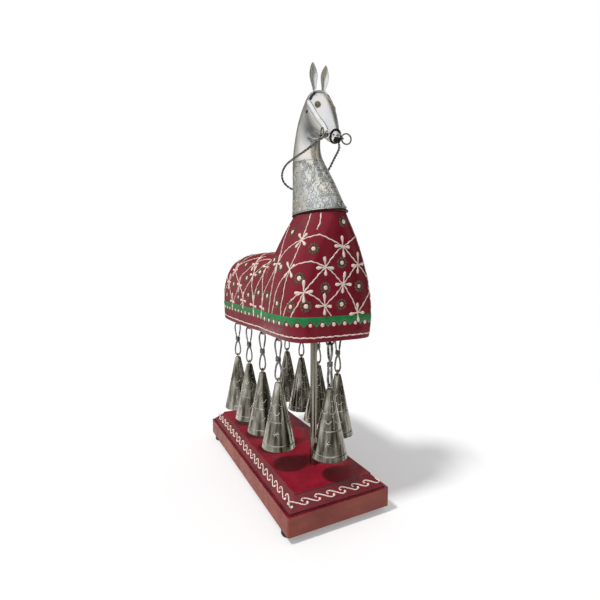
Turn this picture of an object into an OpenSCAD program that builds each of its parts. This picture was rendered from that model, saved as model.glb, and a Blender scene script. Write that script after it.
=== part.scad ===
// Folk horse ornament with bells.
// A painted wooden horse body stands on one rod over a moulded plinth. Its neck and head
// are sheet metal, and nine cone bells hang under the body on twisted wire links.
// Millimetres. +X is the way the horse looks, +Y is its left side and +Z is up.
// The origin lies on the ground, under the middle of the plinth.

/* [Plinth] */
// Length of the plinth block
plinth_l = 168; // [150:1:200]
// Width of the plinth block
plinth_w = 72; // [66:1:100]
// Height of the plinth block
plinth_h = 12; // [11:0.5:20]
// Corner radius of the plinth block
plinth_corner_r = 1.5; // [0.5:0.1:4]
// Width of the flat ledge round the top of the block
ledge_w = 2; // [1:0.1:4]
// Step up from the ledge to the bevelled border
ledge_step = 1; // [0.5:0.1:3]
// Width of the bevelled border
bevel_w = 6.5; // [4:0.1:10]
// Rise of the bevelled border
bevel_rise = 6; // [3:0.1:10]
// Step up from the border to the flat field
field_step = 1; // [0.5:0.1:3]

/* [Feet] */
// Diameter of a rubber foot
foot_d = 9; // [8:0.5:14]
// Height of a rubber foot
foot_h = 4.5; // [2:0.5:8]
// Edge radius of a rubber foot
foot_edge_r = 1; // [0.3:0.1:1.8]
// Distance from a foot's middle to the plinth's ends
foot_inset_l = 10; // [7.5:0.5:20]
// Distance from a foot's middle to the plinth's sides
foot_inset_w = 5; // [5:0.5:15]

/* [Support rod] */
// Diameter of the rod
rod_d = 4.5; // [3:0.1:5]
// Distance of the rod in front of the plinth's middle
rod_x = 48; // [47:0.5:52]
// Clear height between the field and the underside of the body
body_clear_h = 90; // [88:1:110]
// Depth of the rod in the neck core
rod_core_depth = 14; // [8:1:18]
// Diameter of the nut's recess under the plinth
recess_d = 14; // [12:0.5:20]
// Depth of the nut's recess
recess_depth = 9; // [7:0.5:10]
// Width of the nut across its flats
nut_af = 8; // [7:0.5:9]
// Height of the nut
nut_h = 3.6; // [2:0.1:4.5]
// Diameter of the washer
washer_d = 11; // [9:0.5:11.5]
// Thickness of the washer
washer_t = 1; // [0.6:0.1:1.5]

/* [Body] */
// Width of the body at its underside
body_w = 63; // [58:1:66]
// Distance of the rump's end behind the plinth's middle
rump_back = 84; // [78:1:84]
// Length of the rump's oval
rump_l = 130; // [120:1:140]
// Height of the rump over the underside
rump_h = 55.5; // [50:1:70]
// Distance of the chest's front before the plinth's middle
chest_front = 79.5; // [78:0.5:84]
// Length of the chest along the underside
chest_l = 80; // [70:1:100]
// Height of the neck seat over the underside
seat_h = 77; // [74:0.5:90]

/* [Neck and head] */
// Distance of the neck's middle before the plinth's middle
neck_x = 54; // [53:0.5:55]
// Length of the neck at its seat
neck_l = 51; // [46:1:52]
// Width of the neck at its seat
neck_w = 26; // [24:1:30]
// Height of the poll over the neck seat, which sizes the neck's and head's outlines
poll_h = 76.5; // [74:0.5:80]
// Thickness of the neck's sheet
sheet_t = 0.8; // [0.6:0.05:1]
// Gap between the neck's lower rim and the body
rim_gap = 0.7; // [0.2:0.1:1.5]
// Height of the wooden core inside the neck
core_h = 22; // [18:1:26]
// Diameter of a neck nail's head
nail_head_d = 2; // [1.4:0.1:3]
// Diameter of a neck nail's shank
nail_d = 0.9; // [0.6:0.1:1.2]
// Length of a neck nail's shank
nail_l = 4; // [3:0.5:6]
// Height of the nails over the lower rim
nail_z = 3.5; // [2.5:0.5:6]
// Height of an ear
ear_l = 16.5; // [14:0.5:24]
// Width of an ear
ear_w = 4.8; // [4:0.2:8]
// Thickness of the ear's sheet
ear_t = 0.7; // [0.5:0.05:1]

/* [Bridle] */
// Width of the cheek straps
strap_w = 2; // [1.2:0.1:2.6]
// Thickness of the straps
strap_t = 0.6; // [0.4:0.05:1]
// Diameter of the bit bar
bit_d = 1.4; // [1:0.1:1.8]
// Diameter of a bit ring at the middle of its wire
bit_ring_d = 6.2; // [5:0.1:7]
// Diameter of the bit ring's wire
bit_wire_d = 0.9; // [0.6:0.05:1]
// Diameter of the twisted rein
rein_d = 1.6; // [1:0.1:1.8]

/* [Bells] */
// Distance of the two bell rows from the middle
row_y = 23; // [22:0.5:24]
// Place of the rearmost bells along the body
row_back = -44; // [-50:0.5:-44]
// Spacing of the bells along a row
row_pitch = 28.5; // [28:0.5:30]
// Place of the front bell along the body
front_bell_x = 69; // [68:0.5:70]
// Height of a bell
bell_h = 43; // [40:0.5:46]
// Diameter of a bell's mouth
bell_d = 22.5; // [20:0.5:23]
// Diameter of a bell's flat top
bell_top_d = 4.4; // [4:0.1:6]
// Thickness of a bell's wall
bell_wall = 0.7; // [0.6:0.05:1]
// Diameter of the clapper's ball
clapper_d = 6; // [5:0.5:7]
// Distance from the clapper's bar to its ball
clapper_drop = 24; // [20:0.5:26]

/* [Wire links] */
// Diameter of the link and staple wire
wire_d = 1.2; // [1:0.05:1.3]
// Length of a link between the middles of its end wires
link_l = 28; // [26:0.2:30]
// Width of a link at the middle of its wire
link_w = 4.4; // [4.2:0.1:5.5]
// Gap between the two strands at the twisted waist
waist_gap = 0.5; // [0.45:0.05:0.8]
// Drop of the staple's bar under the body
staple_drop = 3.8; // [3.4:0.1:5]
// Width of a staple between its legs
staple_w = 5; // [4.4:0.1:6]
// Depth of a staple in the body
staple_depth = 7; // [5:0.5:10]

/* [Fits] */
// Radial clearance of a pushed-in pin, nail or rod
pin_gap = 0.05; // [0.02:0.01:0.1]
// Clearance between a link and the wire that it hangs on
hang_gap = 0.1; // [0.05:0.01:0.2]
// Clearance of a wire eye on its bar
eye_gap = 0.15; // [0.1:0.01:0.3]
// Clearance between a sheet piece and what it lies on
sheet_gap = 0.15; // [0.1:0.01:0.3]

/* [Hidden] */
BELL_COUNT = 9;
BELLS = [1 : BELL_COUNT];
$fn = 48;
// Length that a cut runs past a face
CUT = 1;
// Length of the rod under its nut
ROD_TAIL = 1;
// Small step for slopes along a curve
NUDGE = 0.02;

CRIMSON = "#96233a";
PLINTH_RED = "#7c2330";
SILVER = "#c9ccd0";
PEWTER = "#8f8c84";
STEEL = "#9a948a";
BLACK = "#2a2a2c";
WOOD = "#b98d5c";

// Heights of the plinth's mouldings
block_top_z = foot_h + plinth_h;
bevel_z = block_top_z + ledge_step;
bevel_top_z = bevel_z + bevel_rise;
field_z = bevel_top_z + field_step;
field_l = plinth_l - 2 * (ledge_w + bevel_w);
field_w = plinth_w - 2 * (ledge_w + bevel_w);

// Heights of the body and the rod
body_z = field_z + body_clear_h;
seat_z = body_z + seat_h;
recess_top_z = foot_h + recess_depth;
washer_z = recess_top_z - washer_t;
nut_z = washer_z - nut_h;
rod_end_z = nut_z - ROD_TAIL;
rod_top_z = seat_z + rod_core_depth;
rod_hole_r = rod_d / 2 + pin_gap;

// The body's two lobes
body_b = body_w / 2;
rump_a = rump_l / 2;
rump_x = rump_a - rump_back;
chest_back = chest_front - chest_l;
RUMP_PLAN_POWER = 3.4;
RUMP_RISE_POWER = 2.9;
CHEST_SIDE_POWER = 1.85;
CHEST_BACK_POWER = 1.7;
CHEST_PLAN_POWER = 5;
CHEST_REAR_POWER = 2.2;
NECK_PLAN_POWER = 2;
BULGE_H = 12;
TUCK_H = 42;
LOBE_BLEND = 14;
BODY_RAYS = 84;
BODY_TIERS = 18;
RAY_REACH = 2.5;
RAY_LIFT = 1.6;
RAY_HALVINGS = 22;
TOP_LIFT = 88;
body_eye_x = 12;
SEAT_SPARE = 5;
SEAT_POWER = 60;

// Outlines of the neck and head over the seat, drawn as distances from the middle of the neck
// seat. A station has its crest point, its throat point and its half width. The drawing is
// sized to bring its highest crest point, the poll, to its height, and the rein follows it.
DRAWN_STATIONS = [
    [-27, 20, 11, 20, 10.5],
    [-28.5, 42, -3, 38, 8],
    [-21.5, 62, -5, 48, 7.2],
    [-10.5, 74, 0, 48.5, 7.6],
    [-1, 76.5, 5, 47.5, 8.4],
    [8, 69.5, 8.5, 45.5, 7.2],
    [14, 60, 12, 42.5, 5.4],
    [18.5, 51, 15.4, 40.5, 3.6],
    [21.3, 45.5, 18.7, 39.8, 3],
    [22.3, 43.2, 20.8, 40.6, 1.8]
];
outline_size = poll_h / max([for (station = DRAWN_STATIONS) station[1]]);
NECK_STATIONS = concat(
    [[-neck_l / 2, 0, neck_l / 2, 0, neck_w / 2]],
    outline_size * DRAWN_STATIONS
);
NECK_END = 3;
HEAD_END = len(NECK_STATIONS) - 1;
NECK_SIDES = 32;
NECK_RING_STEP = 0.25;
HEAD_RING_STEP = 0.35;
SECTION_POWER = 2.2;
CORE_RINGS = 7;

// The nails stand in a row round the foot of the neck
NAIL_ANGLES = [35, 90, 145, 215, 270, 325];
nail_station = (nail_z + rim_gap) / NECK_STATIONS[1][1];
NAIL_HEAD_SHARE = 0.3;
NAIL_TIP_SHARE = 0.6;
nail_head_h = nail_head_d * NAIL_HEAD_SHARE;
nail_tip_d = nail_head_d * NAIL_TIP_SHARE;
nail_hole_r = nail_d / 2 + pin_gap;

// The ears stand on the poll, each a curled leaf with a narrow foot
EAR_STATION = 5.1;
EAR_ANGLE = 20;
EAR_SPREAD = 4.5;
EAR_TILT = 1.2;
EAR_FOOT_SHARE = 0.42;
EAR_CURL = 0.55;
EAR_TIP_POWER = 5;
EAR_TIP_FULLNESS = 1.02;
EAR_SWELL_TURN = 150;
EAR_ROWS = 12;
EAR_COLS = 6;

// Lines of the straps on the head, as [station, angle] points
CHEEK_LINE = [[5.1, 74], [5.75, 84], [6.4, 89], [7.2, 88]];
BROW_LINE = [[5.2, -62], [5.35, -33], [5.45, 0], [5.35, 33], [5.2, 62]];
BAND_W = 1.2;
CHEEK_STEPS = 14;
BROW_STEPS = 16;
NOSE_STATION = 8.9;
NOSE_HALF = 0.09;

// The bit lies through the corner of the mouth, with the rein's eyes outside the cheeks
// and the eyes of the two loose rings at its ends
bit_station = 7.65;
BIT_ANGLE = 120;
bit_at = neck_point(bit_station, BIT_ANGLE, 0);
bit_x = bit_at[0];
bit_z = bit_at[2];
side_gap = 2 * eye_gap;
bit_cheek_y = neck_point(bit_station, 90, 0)[1] + side_gap;
rein_eye_wire_r = rein_d / 4;
rein_eye_r = bit_d / 2 + eye_gap + rein_eye_wire_r;
rein_eye_y = bit_cheek_y + side_gap + rein_eye_wire_r;
bit_eye_wire_r = 0.4;
bit_eye_r = bit_wire_d / 2 + eye_gap + bit_eye_wire_r;
bit_eye_y = rein_eye_y + rein_eye_wire_r + side_gap + bit_eye_r + bit_eye_wire_r;
RIGHT_RING_FOLD = 75;
LEFT_RING_FOLD = 10;

// Wire links and bells, measured down from the body's underside
wire_r = wire_d / 2;
bar_z = body_z - staple_drop;
link_top_z = bar_z + wire_d + hang_gap;
link_mid_z = link_top_z - link_l / 2;
bell_hinge_z = link_top_z - link_l;
crown_wire_r = 0.5;
BELL_CROWN_T = 3;
BELL_EDGE = 0.4;
CLAPPER_BAR_DROP = 8;
crown_r = wire_r + eye_gap + hang_gap + crown_wire_r;
bell_top_z = bell_hinge_z - crown_r;
bell_z = bell_top_z - bell_h;
clapper_bar_z = bell_top_z - CLAPPER_BAR_DROP;
clapper_eye_wire_r = 0.4;
clapper_bar_r = 0.5;
clapper_rod_r = 0.5;
clapper_eye_r = clapper_bar_r + eye_gap + clapper_eye_wire_r;
strand_r = wire_r + waist_gap / 2;
LINK_RINGS = 36;
LINK_SIDES = 8;
TWIST_REACH = 0.36;
FRONT_BELL = 8;
ROW_COUNT = 4;

// The rein's route from its right eye on the bit, round the back of the neck, to its left one.
// The points between the eyes are measured from the middle of the neck seat.
REIN_POINTS = [
    [8, -10, 39], [-1, -11, 37.5], [-13, -11.5, 36.5], [-26.5, -11, 35], [-36.5, -9, 31],
    [-41.5, -4.5, 26.5], [-39.5, 1.5, 22.5], [-31, 7.5, 21.5], [-20, 11.5, 25],
    [-9, 12, 30.5], [0.5, 11, 36], [9.5, 9, 40]
];
REIN_DIP = 40;
rein_route = concat(
    [rein_end(-1)],
    [for (p = REIN_POINTS) outline_size * p + [neck_x, 0, seat_z]],
    [rein_end(1)]
);
REIN_SIDES = 8;
REIN_STEPS = 4;

// Where the rein runs into the wire of its eye
function rein_end(side) = [
    bit_x - rein_eye_r * cos(REIN_DIP), side * rein_eye_y, bit_z - rein_eye_r * sin(REIN_DIP)
];

// Smooth curve through the points of a list, at place t
function spline(p, t) =
    let (n = len(p) - 1,
         i = min(max(floor(t), 0), n - 1),
         u = t - i,
         a = p[max(i - 1, 0)],
         b = p[i],
         c = p[i + 1],
         d = p[min(i + 2, n)])
    0.5 * (2 * b + (c - a) * u + (2 * a - 5 * b + 4 * c - d) * u * u
        + (3 * b - a - 3 * c + d) * u * u * u);

// Signed power, for rounded sections
function spow(v, e) = sign(v) * pow(abs(v), e);

// Point of the neck or head at station t and angle v, moved out by an offset.
// The crest is at v = 0 and the horse's left side at v = 90.
function neck_point(t, v, out) =
    let (s = spline(NECK_STATIONS, t),
         crest = [neck_x + s[0], seat_z + s[1]],
         throat = [neck_x + s[2], seat_z + s[3]],
         mid = (crest + throat) / 2,
         half = norm(crest - throat) / 2,
         dir = (crest - throat) / (2 * half),
         along = (half + out) * spow(cos(v), 2 / SECTION_POWER),
         side = (s[4] + out) * spow(sin(v), 2 / SECTION_POWER))
    [mid[0] + dir[0] * along, side, mid[1] + dir[1] * along];

function neck_ring(t, out) =
    [for (j = [0 : NECK_SIDES - 1]) neck_point(t, -360 * j / NECK_SIDES, out)];

// Outward direction of the neck or head at station t and angle v
function neck_normal(t, v) =
    let (du = neck_point(t + NUDGE, v, 0) - neck_point(t - NUDGE, v, 0),
         dv = neck_point(t, v + 1, 0) - neck_point(t, v - 1, 0),
         n = cross(du, dv))
    n / norm(n);

// Faces between rings of points; the last ring joins the first where wrap is true
function skin_faces(rings, sides, wrap) = [
    for (i = [0 : rings - (wrap ? 1 : 2)])
        for (j = [0 : sides - 1])
            let (k = (j + 1) % sides,
                 low = i * sides,
                 high = ((i + 1) % rings) * sides)
            each [[low + j, high + k, low + k], [low + j, high + j, high + k]]
];

function cap_faces(rings, sides) = [
    [for (j = [0 : sides - 1]) j],
    [for (j = [sides - 1 : -1 : 0]) (rings - 1) * sides + j]
];

module skin(rings, wrap = false) {
    sides = len(rings[0]);
    ends = wrap ? [] : cap_faces(len(rings), sides);
    polyhedron([for (r = rings) each r], concat(skin_faces(len(rings), sides, wrap), ends));
}

// Ring of points round a wire at p, square to its heading
function wire_ring(p, heading, up, r, sides) =
    let (h = heading / norm(heading),
         side = cross(h, up) / norm(cross(h, up)),
         top = cross(side, h))
    [for (j = [0 : sides - 1])
        p + r * (cos(360 * j / sides) * side - sin(360 * j / sides) * top)];

module torus(ring_r, wire_r) {
    rotate_extrude($fn = 48) translate([ring_r, 0]) circle(wire_r, $fn = 24);
}

module rounded_plate(l, w, r) {
    square([l - 2 * r, w], center = true);
    square([l, w - 2 * r], center = true);
    for (sx = [-1, 1])
        for (sy = [-1, 1])
            translate([sx * (l / 2 - r), sy * (w / 2 - r)]) circle(r);
}

// Four-sided frustum between two rectangles
module frustum(l0, w0, z0, l1, w1, z1) {
    corners = [[-1, -1], [1, -1], [1, 1], [-1, 1]];
    skin([
        [for (c = corners) [c[0] * l0 / 2, c[1] * w0 / 2, z0]],
        [for (c = corners) [c[0] * l1 / 2, c[1] * w1 / 2, z1]]
    ]);
}

module plinth() color(PLINTH_RED) {
    difference() {
        union() {
            translate([0, 0, foot_h])
                linear_extrude(plinth_h) rounded_plate(plinth_l, plinth_w, plinth_corner_r);
            translate([0, 0, block_top_z]) linear_extrude(ledge_step)
                square([plinth_l - 2 * ledge_w, plinth_w - 2 * ledge_w], center = true);
            frustum(plinth_l - 2 * ledge_w, plinth_w - 2 * ledge_w, bevel_z,
                field_l, field_w, bevel_top_z);
            translate([0, 0, bevel_top_z])
                linear_extrude(field_step) square([field_l, field_w], center = true);
        }
        translate([rod_x, 0, 0]) cylinder(r = rod_hole_r, h = field_z + CUT);
        translate([rod_x, 0, 0]) cylinder(d = recess_d, h = recess_top_z);
    }
}

module foot() {
    rotate_extrude() difference() {
        square([foot_d / 2, foot_h]);
        translate([foot_d / 2 - foot_edge_r, 0]) difference() {
            square(foot_edge_r);
            translate([0, foot_edge_r]) circle(foot_edge_r);
        }
    }
}

module rubber_feet() color(BLACK) {
    for (sx = [-1, 1])
        for (sy = [-1, 1])
            translate([sx * (plinth_l / 2 - foot_inset_l), sy * (plinth_w / 2 - foot_inset_w), 0]) foot();
}

module support_rod() color(STEEL) {
    translate([rod_x, 0, rod_end_z]) cylinder(d = rod_d, h = rod_top_z - rod_end_z);
}

module rod_washer() color(STEEL) {
    translate([rod_x, 0, washer_z]) linear_extrude(washer_t) difference() {
        circle(d = washer_d);
        circle(r = rod_hole_r);
    }
}

module rod_nut() color(STEEL) {
    translate([rod_x, 0, nut_z]) linear_extrude(nut_h) difference() {
        circle(d = nut_af / cos(30), $fn = 6);
        circle(r = rod_hole_r);
    }
}

// How far a point lies out of the rump, where 1 is its surface
function rump_reach(x, y, h) =
    let (plan = pow(abs(x - rump_x) / rump_a, RUMP_PLAN_POWER)
             + pow(abs(y) / body_b, RUMP_PLAN_POWER))
    pow(plan, RUMP_RISE_POWER / RUMP_PLAN_POWER) + lobe_rise(h, rump_h, RUMP_RISE_POWER);

// Drawing in of a lobe over and under its widest level
function lobe_rise(h, top, power) =
    pow(h > BULGE_H ? (h - BULGE_H) / (top - BULGE_H) : (BULGE_H - h) / TUCK_H, power);

// How far a point lies out of the chest, which narrows upwards to the neck seat
function chest_reach(x, y, h) =
    let (rise = h / seat_h,
         back = chest_back
             + (neck_x - neck_l / 2 - chest_back) * pow(rise, CHEST_BACK_POWER),
         front = chest_front + (neck_x + neck_l / 2 - chest_front) * rise,
         half_l = max((front - back) / 2, 1),
         half_w = max(neck_w / 2
             + (body_b - neck_w / 2) * (1 - lobe_rise(h, seat_h, CHEST_SIDE_POWER)), 1),
         mid = (front + back) / 2,
         plan = x > mid ? CHEST_PLAN_POWER : CHEST_REAR_POWER,
         power = max(plan + (NECK_PLAN_POWER - plan) * rise * rise, NECK_PLAN_POWER))
    pow(abs(x - mid) / half_l, power) + pow(abs(y) / half_w, power)
        + pow(h / (seat_h + SEAT_SPARE), SEAT_POWER);

// The two lobes run softly into each other
function body_reach(p) =
    let (rump = rump_reach(p[0], p[1], p[2]),
         chest = chest_reach(p[0], p[1], p[2]))
    min(rump, chest) - ln(1 + exp(-LOBE_BLEND * abs(rump - chest))) / LOBE_BLEND;

// Distance from the body's middle to its surface along a direction
function body_exit(from, dir, low, high, tries) =
    let (mid = (low + high) / 2)
    tries == 0 ? mid
        : body_reach(from + dir * mid) < 1 ? body_exit(from, dir, mid, high, tries - 1)
        : body_exit(from, dir, low, mid, tries - 1);

function body_point(turn, lift) =
    let (from = [body_eye_x, 0, 0],
         dir = [RAY_REACH * cos(lift) * cos(turn), cos(lift) * sin(turn), RAY_LIFT * sin(lift)])
    from + dir * body_exit(from, dir, 0, plinth_l, RAY_HALVINGS);

function body_ring(lift) = [
    for (j = [0 : BODY_RAYS - 1])
        body_point(360 * j / BODY_RAYS, lift) + [0, 0, body_z]
];

module body() color(CRIMSON) {
    difference() {
        skin([for (i = [0 : BODY_TIERS - 1]) body_ring(TOP_LIFT * i / (BODY_TIERS - 1))]);
        translate([-plinth_l, -plinth_w, seat_z]) cube([2 * plinth_l, 2 * plinth_w, seat_h]);
        translate([rod_x, 0, body_z - CUT]) cylinder(r = rod_hole_r, h = seat_h + 2 * CUT);
        for (i = BELLS) staple_legs(i, wire_r + pin_gap, pin_gap);
    }
}

module neck_core() color(WOOD) {
    inset = -(sheet_t + sheet_gap);
    difference() {
        skin([for (k = [0 : CORE_RINGS - 1]) core_ring(core_h * k / (CORE_RINGS - 1), inset)]);
        translate([rod_x, 0, seat_z - CUT])
            cylinder(r = rod_hole_r, h = rod_core_depth + CUT + pin_gap);
        for (a = NAIL_ANGLES)
            nail_place(a) cylinder(r = nail_hole_r, h = 2 * (nail_l + pin_gap), center = true);
    }
}

// Ring of the neck at height h over the seat
function core_ring(h, out) = neck_ring(h / NECK_STATIONS[1][1], out);

// Puts a nail's head plane on the neck's sheet, with +Z pointing out
module nail_place(v) {
    n = neck_normal(nail_station, v);
    translate(neck_point(nail_station, v, 0) + n * pin_gap)
        rotate([0, acos(n[2]), atan2(n[1], n[0])]) children();
}

module neck_shell() color(SILVER) {
    first = rim_gap / NECK_STATIONS[1][1];
    steps = round((NECK_END - first) / NECK_RING_STEP);
    places = [for (k = [0 : steps]) first + (NECK_END - first) * k / steps];
    difference() {
        skin(concat(
            [for (t = places) neck_ring(t, 0)],
            [for (k = [steps : -1 : 0]) neck_ring(places[k], -sheet_t)]
        ), wrap = true);
        for (a = NAIL_ANGLES)
            nail_place(a) cylinder(r = nail_hole_r, h = 2 * nail_l, center = true);
    }
}

module neck_nails() color(STEEL) {
    for (a = NAIL_ANGLES) nail_place(a) {
        translate([0, 0, -nail_l]) cylinder(d = nail_d, h = nail_l + nail_head_h / 2, $fn = 24);
        translate([0, 0, pin_gap])
            cylinder(d1 = nail_head_d, d2 = nail_tip_d, h = nail_head_h, $fn = 24);
    }
}

module head() color(SILVER) {
    steps = round((HEAD_END - NECK_END) / HEAD_RING_STEP);
    difference() {
        skin([for (k = [0 : steps]) neck_ring(NECK_END + (HEAD_END - NECK_END) * k / steps, 0)]);
        translate([bit_x, 0, bit_z]) rotate([90, 0, 0])
            cylinder(r = bit_d / 2 + pin_gap, h = neck_w, center = true);
    }
}

// One leaf-shaped ear of curled sheet; side is 1 on the left and -1 on the right
module ear(side) {
    up = neck_normal(EAR_STATION, side * EAR_ANGLE);
    root = neck_point(EAR_STATION, side * EAR_ANGLE, 0) + up * sheet_gap;
    across = [for (j = [0 : EAR_COLS]) 2 * j / EAR_COLS - 1];
    skin([
        for (k = [0 : EAR_ROWS])
            let (t = k / EAR_ROWS)
            concat(
                [for (a = across) root + ear_point(side, up, t, a, 0)],
                [for (a = across) root + ear_point(side, up, t, -a, ear_t)]
            )
    ]);
}

// Half width of an ear at the share t of its height
function ear_half(t) =
    ear_w / 2 * sqrt(EAR_TIP_FULLNESS - pow(t, EAR_TIP_POWER))
        * (EAR_FOOT_SHARE + (1 - EAR_FOOT_SHARE) * pow(sin(EAR_SWELL_TURN * t), 2));

// Point of an ear from its root; a runs from -1 to 1 across it. Its foot lies flat on the head.
function ear_point(side, up, t, a, back) =
    let (half = ear_half(t),
         z = ear_l * t,
         dx = z * tan(EAR_TILT) - EAR_CURL * half * (1 - a * a) - back,
         dy = a * half + side * z * tan(EAR_SPREAD))
    [dx, dy, z - (1 - t) * (up[0] * dx + up[1] * dy) / up[2]];

module ear_left() color(SILVER) ear(1);

module ear_right() color(SILVER) ear(-1);

// Band on the neck or head along a line of [station, angle] points
module strap(line, w, steps) {
    rings = [for (k = [0 : steps]) strap_section(line, (len(line) - 1) * k / steps, w)];
    skin(rings);
}

function strap_section(line, t, w) =
    let (at = spline(line, t),
         ahead = spline(line, min(t + NUDGE, len(line) - 1)),
         behind = spline(line, max(t - NUDGE, 0)),
         go = neck_point(ahead[0], ahead[1], 0) - neck_point(behind[0], behind[1], 0),
         n = neck_normal(at[0], at[1]),
         across = cross(n, go / norm(go)),
         low = neck_point(at[0], at[1], 0) + n * sheet_gap,
         top = low + n * strap_t,
         half = across * w / 2)
    [low - half, low + half, top + half, top - half];

module cheek_strap(side)
    strap([for (p = CHEEK_LINE) [p[0], side * p[1]]], strap_w, CHEEK_STEPS);

module cheek_strap_left() color(SILVER) cheek_strap(1);

module cheek_strap_right() color(SILVER) cheek_strap(-1);

module browband() color(BLACK) strap(BROW_LINE, BAND_W, BROW_STEPS);

module noseband() color(BLACK) {
    skin([
        neck_ring(NOSE_STATION - NOSE_HALF, sheet_gap + strap_t),
        neck_ring(NOSE_STATION + NOSE_HALF, sheet_gap + strap_t),
        neck_ring(NOSE_STATION + NOSE_HALF, sheet_gap),
        neck_ring(NOSE_STATION - NOSE_HALF, sheet_gap)
    ], wrap = true);
}

module bit_bar() color(STEEL) {
    bar_end = bit_eye_y - bit_eye_r;
    translate([bit_x, 0, bit_z]) {
        rotate([90, 0, 0]) cylinder(d = bit_d, h = 2 * bar_end, center = true);
        for (s = [-1, 1]) translate([0, s * bit_eye_y, 0]) torus(bit_eye_r, bit_eye_wire_r);
    }
}

// A loose ring in its bit eye, folded forward by an angle
module bit_ring(side, fold) {
    translate([bit_x, side * bit_eye_y, bit_z]) rotate([0, 0, -side * fold])
        translate([0, side * bit_ring_d / 2, 0]) rotate([0, 90, 0])
            torus(bit_ring_d / 2, bit_wire_d / 2);
}

module bit_ring_left() color(STEEL) bit_ring(1, LEFT_RING_FOLD);

module bit_ring_right() color(STEEL) bit_ring(-1, RIGHT_RING_FOLD);

// Radius of the rein at place t, thinned at both ends to the wire of its eyes
function rein_r(t) =
    let (last = len(rein_route) - 1,
         share = min(t, last - t, 1))
    rein_eye_wire_r + (rein_d / 2 - rein_eye_wire_r) * share;

module rein() color(STEEL) {
    last = len(rein_route) - 1;
    skin([
        for (k = [0 : last * REIN_STEPS])
            let (t = k / REIN_STEPS,
                 ahead = spline(rein_route, min(t + NUDGE, last)),
                 behind = spline(rein_route, max(t - NUDGE, 0)))
            wire_ring(spline(rein_route, t), ahead - behind, [0, 0, 1], rein_r(t), REIN_SIDES)
    ]);
    for (side = [-1, 1])
        translate([bit_x, side * rein_eye_y, bit_z]) rotate([90, 0, 0])
            torus(rein_eye_r, rein_eye_wire_r);
}

// Places of the bells: the right row, the left row, and the front bell in the middle
function bell_place(i) =
    i == FRONT_BELL ? [front_bell_x, 0]
        : i <= ROW_COUNT ? [row_back + row_pitch * (i - 1), -row_y]
        : [row_back + row_pitch * (min(i, FRONT_BELL) - ROW_COUNT - 1), row_y];

// The row bells' staples lie along the body and the front bell's lies across it
function bell_turn(i) = i == FRONT_BELL ? 90 : 0;

module at_bell(i) {
    p = bell_place(i);
    translate([p[0], p[1], 0]) rotate([0, 0, bell_turn(i)]) children();
}

module staple_legs(i, r, spare) {
    at_bell(i)
        for (s = [-1, 1])
            translate([s * staple_w / 2, 0, body_z - CUT])
                cylinder(r = r, h = staple_depth + CUT + spare, $fn = 24);
}

module hanger_staples() color(STEEL) {
    bend = wire_d;
    for (i = BELLS) at_bell(i) {
        translate([0, 0, bar_z]) rotate([0, 90, 0])
            cylinder(r = wire_r, h = staple_w - 2 * bend, center = true, $fn = 24);
        for (s = [-1, 1]) {
            translate([s * staple_w / 2, 0, bar_z + bend])
                cylinder(r = wire_r, h = staple_drop - bend + staple_depth, $fn = 24);
            translate([s * (staple_w / 2 - bend), 0, bar_z + bend])
                rotate([90, s > 0 ? 90 : 180, 0])
                    rotate_extrude(angle = 90, $fn = 48) translate([bend, 0]) circle(wire_r, $fn = 24);
        }
    }
}

// The link's wire, a ring drawn out and twisted half round at its waist
function link_point(t) =
    let (c = cos(t),
         u = min(max(c / TWIST_REACH, -1), 1),
         turn = 90 * (1 - u * (1.5 - 0.5 * u * u)) + (t > 180 ? 180 : 0),
         s = sqrt(pow(link_w / 2 * sin(2 * t), 2) + pow(strand_r * pow(sin(t), 2), 2)))
    [s * sin(turn), s * cos(turn), link_l / 2 * c];

link_points = [for (k = [0 : LINK_RINGS - 1]) link_point(360 * k / LINK_RINGS)];

module link(i) color(STEEL) at_bell(i) translate([0, 0, link_mid_z]) {
    skin([
        for (k = [0 : LINK_RINGS - 1])
            wire_ring(link_points[k],
                link_points[(k + 1) % LINK_RINGS] - link_points[(k + LINK_RINGS - 1) % LINK_RINGS],
                [1, 0, 0], wire_r, LINK_SIDES)
    ], wrap = true);
}

// Least gap between the two strands of a link, on points all along its wire
LINK_TESTS = 72;
link_tests = [for (k = [0 : LINK_TESTS - 1]) link_point(360 * k / LINK_TESTS)];
link_least = min([
    for (a = [0 : LINK_TESTS - 1])
        for (b = [0 : LINK_TESTS - 1])
            if (abs(a - b) > LINK_TESTS / 5 && abs(a - b) < LINK_TESTS * 4 / 5)
                norm(link_tests[a] - link_tests[b])
]) - wire_d;
echo(link_least_gap = link_least);

module bell(i) color(PEWTER) at_bell(i) {
    top_r = bell_top_d / 2;
    mouth_r = bell_d / 2;
    slope = (mouth_r - top_r) / bell_h;
    roof = bell_h - BELL_CROWN_T;
    bar_r = top_r + slope * CLAPPER_BAR_DROP - bell_wall / 2;
    translate([0, 0, bell_z]) rotate_extrude() polygon([
        [mouth_r - bell_wall, 0], [mouth_r, 0], [top_r + BELL_EDGE * slope, bell_h - BELL_EDGE],
        [top_r - BELL_EDGE, bell_h], [0, bell_h], [0, roof], [mouth_r - bell_wall - slope * roof, roof]
    ]);
    translate([0, 0, bell_hinge_z]) rotate([90, 0, 0]) torus(crown_r, crown_wire_r);
    translate([0, 0, clapper_bar_z]) rotate([0, 90, 0])
        cylinder(r = clapper_bar_r, h = 2 * bar_r, center = true, $fn = 24);
}

module clapper(i) color(STEEL) at_bell(i) translate([0, 0, clapper_bar_z]) {
    rotate([0, 90, 0]) torus(clapper_eye_r, clapper_eye_wire_r);
    translate([0, 0, -clapper_drop])
        cylinder(r = clapper_rod_r, h = clapper_drop - clapper_eye_r, $fn = 24);
    translate([0, 0, -clapper_drop]) sphere(d = clapper_d);
}

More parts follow.
